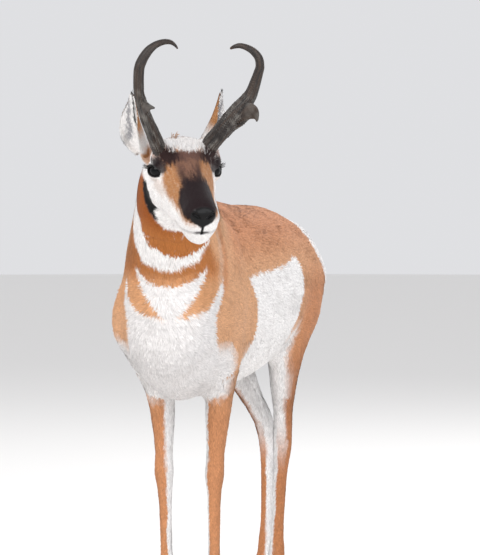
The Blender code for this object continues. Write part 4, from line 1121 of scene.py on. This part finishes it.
# The horns: a shaft and a flat prong each, blended, ribbed lengthwise and rough low down. A row is x, y, z
# in the head's axes, half width, radius ahead and radius behind.
hornPlan = {
    "left": {
        "shaft": (
            (0.0385, 0.006, 0.0260, 0.0158, 0.0214, 0.0224),
            (0.0501, 0.005, 0.0559, 0.0167, 0.0220, 0.0224),
            (0.0631, 0.002, 0.0783, 0.0167, 0.0214, 0.0214),
            (0.0794, -0.001, 0.1088, 0.0167, 0.0220, 0.0203),
            (0.0990, -0.003, 0.1386, 0.0163, 0.0234, 0.0193),
            (0.1147, -0.002, 0.1610, 0.0140, 0.0187, 0.0171),
            (0.1232, 0.000, 0.1795, 0.0122, 0.0146, 0.0146),
            (0.1327, 0.005, 0.2169, 0.0098, 0.0108, 0.0108),
            (0.1355, 0.008, 0.2325, 0.0090, 0.0098, 0.0098),
            (0.1318, 0.012, 0.2487, 0.0086, 0.0090, 0.0090),
            (0.1212, 0.017, 0.2608, 0.0077, 0.0080, 0.0080),
            (0.1079, 0.022, 0.2673, 0.0064, 0.0067, 0.0067),
            (0.0944, 0.028, 0.2686, 0.0053, 0.0056, 0.0056),
            (0.0842, 0.032, 0.2644, 0.0042, 0.0044, 0.0044),
            (0.0769, 0.036, 0.2578, 0.0022, 0.0023, 0.0023),
        ),
        "prong": (
            (0.0700, 0.002, 0.0800, 0.0125, 0.0165, 0.0150),
            (0.0885, 0.002, 0.1080, 0.0130, 0.0200, 0.0185),
            (0.1000, -0.014, 0.1290, 0.0110, 0.0220, 0.0185),
            (0.1115, -0.030, 0.1430, 0.0078, 0.0225, 0.0120),
            (0.1190, -0.043, 0.1495, 0.0058, 0.0225, 0.0105),
            (0.1232, -0.051, 0.1490, 0.0048, 0.0180, 0.0085),
            (0.1252, -0.057, 0.1445, 0.0030, 0.0060, 0.0052),
            (0.1250, -0.058, 0.1400, 0.0012, 0.0018, 0.0016),
        ),
    },
    "right": {
        "shaft": (
            (-0.0475, 0.006, 0.0240, 0.0160, 0.0208, 0.0216),
            (-0.0664, 0.003, 0.0659, 0.0146, 0.0203, 0.0207),
            (-0.0780, -0.001, 0.0913, 0.0134, 0.0201, 0.0203),
            (-0.0898, -0.005, 0.1165, 0.0124, 0.0203, 0.0193),
            (-0.0997, -0.008, 0.1412, 0.0115, 0.0206, 0.0182),
            (-0.1077, -0.009, 0.1647, 0.0111, 0.0162, 0.0154),
            (-0.1135, -0.008, 0.1873, 0.0105, 0.0129, 0.0129),
            (-0.1159, -0.003, 0.2301, 0.0106, 0.0115, 0.0115),
            (-0.1098, 0.003, 0.2497, 0.0102, 0.0110, 0.0110),
            (-0.0985, 0.009, 0.2663, 0.0090, 0.0098, 0.0098),
            (-0.0865, 0.014, 0.2757, 0.0074, 0.0080, 0.0080),
            (-0.0731, 0.020, 0.2795, 0.0063, 0.0067, 0.0067),
            (-0.0599, 0.025, 0.2798, 0.0056, 0.0058, 0.0058),
            (-0.0486, 0.029, 0.2761, 0.0046, 0.0048, 0.0048),
            (-0.0388, 0.033, 0.2674, 0.0031, 0.0033, 0.0033),
            (-0.0321, 0.036, 0.2581, 0.0016, 0.0017, 0.0017),
        ),
        "prong": (
            (-0.0950, 0.002, 0.1330, 0.0105, 0.0150, 0.0200),
            (-0.1010, -0.018, 0.1500, 0.0098, 0.0170, 0.0150),
            (-0.1000, -0.036, 0.1620, 0.0072, 0.0120, 0.0100),
            (-0.0960, -0.050, 0.1700, 0.0044, 0.0062, 0.0054),
            (-0.0890, -0.060, 0.1738, 0.0016, 0.0020, 0.0020),
        ),
    },
    "voxel": 0.0010,
    "rounds": 30,
    "ribs": 0.0009,
    "warts": 0.0006,
    "dark": (0.130, 0.112, 0.108),
    "brown": (0.230, 0.180, 0.150),
    "grey": (0.440, 0.425, 0.405),
    "tip": (0.30, 0.20, 0.15),
    "roughness": (0.34, 0.64),
}


def smoothRows(rows, steps):
    # Catmull-Rom through the rows.
    rows = np.asarray(rows, float)
    full = np.vstack([2 * rows[0] - rows[1], rows, 2 * rows[-1] - rows[-2]])
    at = np.linspace(0, len(rows) - 1 - 1e-9, steps)
    k = at.astype(int)
    t = (at - k)[:, None]
    a, b, c, d = full[k], full[k + 1], full[k + 2], full[k + 3]
    return 0.5 * (2 * b + (c - a) * t + (2 * a - 5 * b + 4 * c - d) * t**2 + (3 * b - a - 3 * c + d) * t**3)


def tube(rows, ahead, sides=28):
    # Points and triangles of a closed tube along the rows.
    ways = unit(np.gradient(rows[:, :3], axis=0))
    front = unit(ahead - ways * (ways @ ahead)[:, None])
    across = np.cross(front, ways)
    angle = np.arange(sides) / sides * 2 * math.pi
    a, f = np.sin(angle), np.cos(angle)
    reach = np.where(f > 0, rows[:, 4:5], rows[:, 5:6])
    wide = across[:, None] * (a * rows[:, 3:4])[:, :, None]
    rings = rows[:, None, :3] + wide + front[:, None] * (f * reach)[:, :, None]
    points = np.vstack([rings.reshape(-1, 3), rows[0, :3], rows[-1, :3]])
    faces = halved(ringQuads(len(rows), sides)).tolist()
    last = (len(rows) - 1) * sides
    for j in range(sides):
        faces.append(((j + 1) % sides, j, len(points) - 2))
        faces.append((last + j, last + (j + 1) % sides, len(points) - 1))
    return points, np.array(faces)


def hornMaterial():
    # The rougher the strands' height, the duller the horn.
    values = {"Specular IOR Level": 0.35}
    material, tree, shader, strands = grainMaterial("hornSheath", "horn", 420.0, 0.55, (0.6, 0.0008), values)
    low, high = hornPlan["roughness"]
    spread = addNode(tree, "MapRange", {"To Min": low, "To Max": high})
    tree.links.new(strands.outputs["Height"], spread.inputs["Value"])
    tree.links.new(spread.outputs["Result"], shader.inputs["Roughness"])
    return material


def buildHorn(side, material):
    rows = smoothRows(hornPlan[side]["shaft"], 110)
    shaftPoints, shaftFaces = tube(rows, np.array((0.0, -1.0, 0.0)))
    prongPoints, prongFaces = tube(smoothRows(hornPlan[side]["prong"], 40), np.array((0.0, 0.0, 1.0)))
    points = np.vstack([shaftPoints, prongPoints])
    faces = np.vstack([shaftFaces, prongFaces + len(shaftPoints)])
    mesh = remeshed(meshOf(points, faces, "hornForm"), hornPlan["voxel"])
    points = pointsOf(mesh)
    points = smoothed(points, edgesOf(mesh), np.ones(len(points)), hornPlan["rounds"])
    setPoints(mesh, points)
    # Where each point is on the shaft: share of its length, and the way round it.
    far = np.full(len(points), 1e9)
    at = np.zeros(len(points), int)
    for k in range(len(rows)):
        d = np.linalg.norm(points - rows[k, :3], axis=1)
        at[d < far] = k
        far = np.minimum(far, d)
    share = at / (len(rows) - 1)
    away = unit(points - rows[at, :3])
    onShaft = fall(far / rows[at, 4:6].max(1), 1.15, 1.5)
    lengthwise = np.column_stack([away[:, 0] * 0.011, away[:, 1] * 0.011, share * 0.030])
    ribs = waves(lengthwise, 0.0052, 3) * onShaft
    fibres = waves(lengthwise, 0.0030, 9)
    low = fall(share, 0.30, 0.52)
    warts = ramp(waves(points * (1, 1, 0.6), 0.0075, 11), 0.1, 0.9)
    change = hornPlan["ribs"] * (0.35 + 0.65 * low) * np.minimum(ribs, 0.5) + hornPlan["warts"] * low * warts * onShaft
    change = change * fall(share, 0.80, 0.97) * ramp(share, 0.0, 0.03)
    points = points + normalsOf(mesh) * change[:, None]
    setPoints(mesh, fromHead(points))
    # Dark horn with brown fibres, greyer low down and on the prong.
    dark, brown, grey, tip = (linear(hornPlan[name]) for name in ("dark", "brown", "grey", "tip"))
    pale = ramp(fibres + 0.6 * waves(points, 0.040, 1) + 0.4 * warts, 0.0, 1.6) * (0.16 + 0.84 * low) * onShaft
    pale = np.maximum(pale, 0.42 * (1 - onShaft) * ramp(waves(points, 0.04, 4), -1.0, 0.8))
    colours = dark + (brown - dark) * ramp(waves(lengthwise, 0.0065, 7), -0.5, 0.8)[:, None]
    colours = colours + (grey - colours) * (0.85 * pale)[:, None]
    # Darker along the ribs' grooves and the fibres: partly the horn's dark streaks, partly painted shade in the
    # grooves.
    colours = colours * (1 - 0.30 * ramp(-ribs - 0.5 * fibres, 0.1, 0.9))[:, None]
    layColours(mesh, colours + (tip - colours) * (0.5 * ramp(share, 0.93, 1.0))[:, None], "horn")
    dress(mesh, "hornShaft_" + side, material, "horn", "horn_" + side)


sheath = hornMaterial()
for side in ("left", "right"):
    buildHorn(side, sheath)
print("horns grown")


# The eyes: a dark wet ball with a wide pupil, rims along the lids, and lashes.
eyeLooks = {
    "iris": 0.0165,
    "pupil": (0.0100, 0.0058),
    "bulge": 0.0011,
    "white": (0.040, 0.034, 0.036),
    "brown": (0.036, 0.026, 0.028),
    "black": (0.012, 0.014, 0.022),
    "rim": (0.0018, 0.0009),
    "rimColour": (0.085, 0.065, 0.062),
    "lashes": 42,
    "lash": (0.0060, 0.0125),
    "lashColour": (0.07, 0.055, 0.05),
    "ball": {"Roughness": 0.05, "Specular IOR Level": 0.08, "Coat Weight": 0.20, "Coat Roughness": 0.03},
    "lid": {"Roughness": 0.38, "Specular IOR Level": 0.5},
}
# A lash's rings: share of its length, and radius.
lashRings = ((0.0, 0.00050), (0.45, 0.00038), (0.8, 0.00022))


def eyeMaterial(name, values):
    material, tree, shader = newMaterial(name, values)
    colour = addNode(tree, "Attribute", attribute_name="eye")
    place = addNode(tree, "TexCoord")
    noise = addNode(tree, "TexNoise", {"Scale": 900.0})
    mixed = addNode(tree, "Mix", {"Factor": 0.35}, data_type="RGBA", blend_type="MULTIPLY")
    tree.links.new(place.outputs["Object"], noise.inputs["Vector"])
    tree.links.new(colour.outputs["Color"], mixed.inputs[6])
    tree.links.new(noise.outputs["Color"], mixed.inputs[7])
    tree.links.new(mixed.outputs[2], shader.inputs["Base Color"])
    return material


def rimRows(side, spread, lift, steps):
    # The lids' edge: places round the opening, on a ball a little larger than the eye, and how far up they are.
    middle, gaze, front, up = eyeAxes(side)
    angle = np.arange(steps) / steps * 2 * math.pi
    rise = np.sin(angle)
    across = np.cos(angle) * eyePlan["width"] / 2 * spread
    high = np.where(rise > 0, *eyePlan["lids"])
    tall = rise * np.abs(rise) ** 0.15 * eyePlan["opening"] * high * spread - eyePlan["slant"] * across
    reach = np.sqrt(np.maximum((eyePlan["radius"] + lift) ** 2 - across**2 - tall**2, 1e-8))
    return middle + front * across[:, None] + up * tall[:, None] + gaze * reach[:, None], rise


def eyeball(side):
    middle, gaze, front, up = eyeAxes(side)
    form = bmesh.new()
    bmesh.ops.create_icosphere(form, subdivisions=6, radius=1.0)
    mesh = fromForm(form, "eyeForm")
    ways = unit(pointsOf(mesh))
    toFront = ways @ gaze
    away = np.arccos(toFront.clip(-1, 1)) * eyePlan["radius"]
    radius = eyePlan["radius"] - 0.0002 + eyeLooks["bulge"] * fall(away, 0.0, eyeLooks["iris"])
    setPoints(mesh, middle + ways * radius[:, None])
    f, u = ways @ front * eyePlan["radius"], ways @ up * eyePlan["radius"]
    iris = fall(away, eyeLooks["iris"] * 0.94, eyeLooks["iris"] * 1.02)[:, None]
    pupil = np.hypot(f / eyeLooks["pupil"][0], u / eyeLooks["pupil"][1])
    pupil = (fall(pupil, 0.90, 1.06) * (toFront > 0))[:, None]
    rays = waves(np.column_stack([f, u, 0 * f]) / np.maximum(away, 1e-4)[:, None] * 0.05, 0.012, 3)
    white, brown, black = (linear(eyeLooks[name]) for name in ("white", "brown", "black"))
    colours = white * (1 - iris) + brown * (1 + 0.30 * rays)[:, None] * iris
    layColours(mesh, (colours * (1 - pupil) + black * pupil).clip(0, 1), "eye")
    return mesh


def lidRim(side, sides=10, steps=48):
    # A thin roll along the lids' edge, thicker above.
    path, rise = rimRows(side, 1.03, 0.0004, steps)
    out = unit(path - eyeAxes(side)[0])
    across = unit(np.cross(np.roll(path, -1, 0) - np.roll(path, 1, 0), out))
    angle = (np.arange(sides) / sides * 2 * math.pi)[:, None]
    thick = np.where(rise > 0, *eyeLooks["rim"])[:, None, None]
    points = path[:, None] + (across[:, None] * np.cos(angle) + out[:, None] * np.sin(angle)) * thick
    mesh = facedOut(meshOf(points.reshape(-1, 3), ringQuads(steps, sides, closed=True), "rim"))
    layColours(mesh, linear(eyeLooks["rimColour"]), "eye")
    return mesh


def lashesOf(side):
    # Lashes along the upper lid, longest at its back.
    rng = np.random.default_rng(11 + side)
    middle, _, front, up = eyeAxes(side)
    path, rise = rimRows(side, 1.06, 0.0018, 160)
    upper = np.where(rise > 0.16)[0]
    chosen = path[upper[np.sort(rng.choice(len(upper), eyeLooks["lashes"]))]]
    toBack = ramp(-((chosen - middle) @ front), -0.012, 0.017)
    short, long = eyeLooks["lash"]
    length = (short + (long - short) * toBack) * rng.uniform(0.8, 1.15, len(chosen))
    start = chosen + rng.normal(0, 0.0005, (len(chosen), 3))
    lean = unit(chosen - middle) * 0.85 - front * (0.75 * toBack - 0.1)[:, None] - up * 0.18
    lean = unit(lean + rng.normal(0, 0.10, (len(chosen), 3)))
    ends = np.array(((6, 7, 9), (7, 8, 9), (8, 6, 9), (2, 1, 0)))
    pattern = np.vstack([halved(ringQuads(len(lashRings), 3)), ends])
    points, faces = [], []
    for root, way, size in zip(start, lean, length):
        side1 = unit(np.cross(way, up))
        side2 = np.cross(way, side1)
        faces.append(pattern + len(points))
        for share, width in lashRings:
            centre = root + way * size * share + up * size * 0.20 * share**2
            for angle in (0.0, 2.094, 4.189):
                points.append(centre + (side1 * math.cos(angle) + side2 * math.sin(angle)) * width)
        points.append(root + way * size + up * size * 0.20)
    mesh = facedOut(meshOf(np.array(points), np.vstack(faces), "lashes"))
    layColours(mesh, linear(eyeLooks["lashColour"]), "eye")
    return mesh


ball, lid = eyeMaterial("eyeWet", eyeLooks["ball"]), eyeMaterial("lidRim", eyeLooks["lid"])
for side, node in ((1, "left"), (-1, "right")):
    dress(eyeball(side), "eyeball_" + node, ball, "eye", "eye_" + node)
    dress(lidRim(side), "lidRim_" + node, lid, "coat")
    dress(lashesOf(side), "lashes_" + node, lid, "coat")
print("eyes set")


# The hooves: rounded copies of the claws, ringed and scuffed.
hoofLooks = {
    "voxel": 0.0013,
    "rounds": 8,
    "rings": 0.00035,
    "ringEvery": 0.0052,
    "dark": (0.155, 0.135, 0.125),
    "worn": (0.42, 0.37, 0.31),
    "shine": {"Roughness": 0.42, "Specular IOR Level": 0.45},
}


def buildHoof(node, material):
    mesh = remeshed(merged(node), hoofLooks["voxel"])
    points = pointsOf(mesh)
    sole = fall(points[:, 2], 0.0, 0.004)
    rounded = smoothed(points, edgesOf(mesh), np.ones(len(points)), hoofLooks["rounds"])
    rounded[:, 2] = rounded[:, 2] * (1 - sole) + np.maximum(points[:, 2], 0.0) * sole
    setPoints(mesh, rounded)
    normals = normalsOf(mesh)
    rings = np.sin(rounded[:, 2] * 2 * math.pi / hoofLooks["ringEvery"] + 0.8 * waves(rounded, 0.03)) * (1 - sole)
    rounded = rounded + normals * (hoofLooks["rings"] * rings * (np.abs(normals[:, 2]) < 0.7))[:, None]
    rounded[:, 2] = np.maximum(rounded[:, 2], 0.0)
    setPoints(mesh, rounded)
    worn = ramp(waves(rounded, 0.012, 3), 0.1, 0.9) * fall(rounded[:, 2], 0.0, 0.02)
    # The rings' ridges lighter and their grooves darker: painted light and painted shade that follow the rings'
    # relief.
    dark = linear(hoofLooks["dark"]) * (1 + 0.18 * rings)[:, None]
    layColours(mesh, dark + (linear(hoofLooks["worn"]) - dark) * (0.6 * worn)[:, None], "hoof")
    dress(mesh, node.replace("hoof", "claw"), material, "hoof", node)


hoofHorn = grainMaterial("hoofHorn", "hoof", 300.0, 0.5, (0.35, 0.0006), hoofLooks["shine"])[0]
for node in sorted(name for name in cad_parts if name.startswith("hoof")):
    buildHoof(node, hoofHorn)
print("hooves shod with horn")


# Longer hair: flat tapered locks of the mane, and a small tuft behind the crown.
lockPlan = {
    "mane": {
        "count": 620,
        "length": (0.046, 0.072, 0.048),
        "width": 0.0068,
        "thick": 0.0020,
        "lift": 0.62,
        "half": 0.025,
        "middle": ((-0.477, -0.437, -0.390, -0.310, -0.225), (0.081, 0.068, 0.052, 0.028, 0.010)),
        "reach": (-0.490, -0.215),
    },
    "poll": {
        "at": (-0.018, 0.046, 0.040),
        "count": 11,
        "among": 60,
        "length": 0.012,
        "width": 0.0011,
        "thick": 0.0012,
        "lift": 2.4,
        "up": (-0.05, 0.15, 1.0),
        "back": (0.1, 1.0, 0.0),
    },
}
# A lock's rings: share of its length, width, depth and tone, the tone darker at the root with painted shade and a
# little lighter at the tip; and the corners of a ring.
lockShape = (
    (0.0, 0.75, 1.0, 0.70),
    (0.3, 1.0, 1.0, 0.88),
    (0.62, 0.80, 0.8, 1.0),
    (0.86, 0.45, 0.5, 1.08),
    (1.0, 0.06, 0.2, 1.12),
)
lockCorners = ((-1, 0), (-0.35, 1), (0.35, 1), (1, 0), (0, -0.7))


def lockMesh(name, roots, normals, ways, length, width, plan, colours, patches, rng):
    # Locks of five flattened rings that rise from the skin and bend over along the lie of the hair.
    count = len(roots)
    ways = turnedBy(ways, normals, rng.normal(0, 0.22, count))
    across = unit(np.cross(normals, ways))
    length = (length * rng.uniform(0.75, 1.2, count))[:, None]
    lift = (plan["lift"] * rng.uniform(0.75, 1.25, count))[:, None]
    curl = rng.normal(0, 0.16, count)[:, None]
    rings, shades, tones, spots = [], [], [], []
    for share, wide, deep, tone in lockShape:
        rise = lift * share * (1.4 - 0.85 * share)
        centre = roots - normals * 0.002 + (ways * share + normals * rise + across * (curl * share**2)) * length
        for x, y in lockCorners:
            rings.append(centre + across * (x * wide * width / 2)[:, None] + normals * (y * deep * plan["thick"]))
            shades.append(unit(normals + across * x * 0.45 + ways * 0.2 * share))
            tones.append(tone)
            spots.append((x * 0.0014, (share - 0.5) * 0.003))
    points = np.stack(rings, axis=1).reshape(-1, 3)
    sides, levels = len(lockCorners), len(lockShape)
    last = (levels - 1) * sides
    pattern = ringQuads(levels, sides)[:, [0, 2, 1, 0, 3, 2]].reshape(-1, 3).tolist()
    for j in range(1, sides - 1):
        pattern += [(0, j, j + 1), (last, last + j + 1, last + j)]
    faces = (np.arange(count)[:, None, None] * len(rings) + np.array(pattern)).reshape(-1, 3)
    toned = colours[:, None] * np.array(tones)[:, None]
    return finishHair(meshOf(points, faces, name), faces, np.stack(shades, axis=1), toned, patches, np.array(spots))


def buildMane(rng):
    plan = lockPlan["mane"]
    middle = skinPoints[skinTriangles].mean(1)
    facing = unit(skinNormals[skinTriangles].mean(1))
    own = skinLabels[skinTriangles[:, 0]]
    x, y, z = (middle - placeShift).T
    here = (np.abs(x - np.interp(y, *plan["middle"])) < plan["half"]) & (facing[:, 2] > 0.35)
    here = here & (y > plan["reach"][0]) & (y < plan["reach"][1]) & (z > 0.80) & (own <= labelOf["neck"])
    chosen = skinTriangles[here]
    weights = np.full(len(chosen), plan["count"] / areasOf(chosen).sum())
    which, roots, normals = scattered(chosen, weights, rng)
    ways = layOf(roots, normals, own[here][which])
    length = np.interp(ramp(y, -0.490, -0.225)[here][which], (0, 0.5, 1), plan["length"])
    colours, lay = layers(paints, "mane", len(roots))
    lay("back", 0.5 * ramp(waves(roots, 0.03, 3), -0.2, 0.8))
    lay("black", 0.30 * ramp(waves(roots, 0.02, 8), 0.0, 0.8))
    colours *= (1 + rng.normal(0, 0.10, len(roots))).clip(0.7, 1.3)[:, None]
    width = plan["width"] * rng.uniform(0.7, 1.25, len(roots))
    patches = patchesOf(roots, "neck")
    mesh = lockMesh("mane", roots, normals, ways, length, width, plan, colours, patches, rng)
    dress(mesh, "mane", coatMaterial, "mane")
    print("mane", len(roots), "locks")


def buildPollTuft(rng):
    # The small tuft that stands up behind the crown.
    plan = lockPlan["poll"]
    count = plan["count"]
    away = np.linalg.norm(skinPoints - fromHead(np.array(plan["at"])), axis=1)
    roots = skinPoints[rng.choice(np.argsort(away)[: plan["among"]], count)]
    up, back = (np.tile(unit(plan[name]), (count, 1)) for name in ("up", "back"))
    ways = unit(back - up * (back * up).sum(1)[:, None])
    colours = paints["tan"] * rng.uniform(0.6, 1.1, (count, 1))
    length, width = np.full(count, plan["length"]), np.full(count, plan["width"])
    mesh = lockMesh("pollTuft", roots, up, ways, length, width, plan, colours, patchesOf(roots, "head"), rng)
    dress(mesh, "pollTuft", coatMaterial, "mane")
    print("poll tuft", count, "locks")


lockDraws = np.random.default_rng(23)
buildMane(lockDraws)
buildPollTuft(lockDraws)


# The camera, at the photo's viewing angle: turn and height in degrees, and metres for a pixel.
cameraPlan = {
    "turn": 17.0,
    "height": 3.0,
    "distance": 12.0,
    "pixel": 0.00215,
    "aim": (0.0655, 0.7137),
    "frame": 555,
    "sensor": 36,
    "clipEnd": 60,
}


def placeCamera():
    a, e = math.radians(cameraPlan["turn"]), math.radians(cameraPlan["height"])
    right = Vector((math.cos(a), math.sin(a), 0))
    up = Vector((-math.sin(a) * math.sin(e), math.cos(a) * math.sin(e), math.cos(e)))
    back = Vector((math.sin(a) * math.cos(e), -math.cos(a) * math.cos(e), math.sin(e)))
    aim = right * cameraPlan["aim"][0] + up * cameraPlan["aim"][1] + Vector(placeShift)
    data = bpy.data.cameras.new("camera")
    data.sensor_width = cameraPlan["sensor"]
    data.lens = data.sensor_width * cameraPlan["distance"] / (cameraPlan["frame"] * cameraPlan["pixel"])
    data.clip_end = cameraPlan["clipEnd"]
    camera = shown(data, "camera")
    axes = Matrix((right, up, back)).transposed().to_4x4()
    camera.matrix_world = Matrix.Translation(aim + back * cameraPlan["distance"]) @ axes
    bpy.context.scene.camera = camera


placeCamera()


# Floor and lights. A lamp is its name, power, size, place, the height that it looks at, and colour.
lightPlan = {
    "room": 0.78,
    "roomColour": (0.95, 0.955, 0.98, 1),
    "floor": {"Base Color": (0.86, 0.85, 0.835, 1), "Roughness": 0.9, "Specular IOR Level": 0.2},
    "floorRadius": 14,
    "lamps": (
        ("keyLight", 225.0, 4.5, (-1.6, -4.6, 4.2), 0.7, (1.0, 0.985, 0.96)),
        ("fillLight", 115.0, 3.5, (3.8, -3.4, 2.4), 0.7, (0.96, 0.98, 1.0)),
        ("backLight", 90.0, 3.0, (0.6, 4.2, 3.8), 0.8, (1, 1, 1)),
    ),
}


def placeRoom():
    form = bmesh.new()
    bmesh.ops.create_circle(form, cap_ends=True, segments=96, radius=lightPlan["floorRadius"])
    mesh = fromForm(form, "floor")
    mesh.materials.append(newMaterial("paleFloor", lightPlan["floor"])[0])
    floor = shown(mesh, "floor")
    for name, power, size, place, height, colour in lightPlan["lamps"]:
        data = bpy.data.lights.new(name, "AREA")
        data.shape = "DISK"
        data.size, data.energy, data.color = size, power, colour
        lamp = shown(data, name)
        lamp.location = place
        lamp.rotation_euler = (Vector((0, 0, height)) - Vector(place)).to_track_quat("-Z", "Y").to_euler()
    world = bpy.data.worlds.new("paleRoom")
    world.use_nodes = True
    background = world.node_tree.nodes["Background"]
    background.inputs["Color"].default_value = lightPlan["roomColour"]
    background.inputs["Strength"].default_value = lightPlan["room"]
    bpy.context.scene.world = world
    bpy.context.scene.view_settings.view_transform = "Standard"


placeRoom()
print("camera, floor and lights placed")
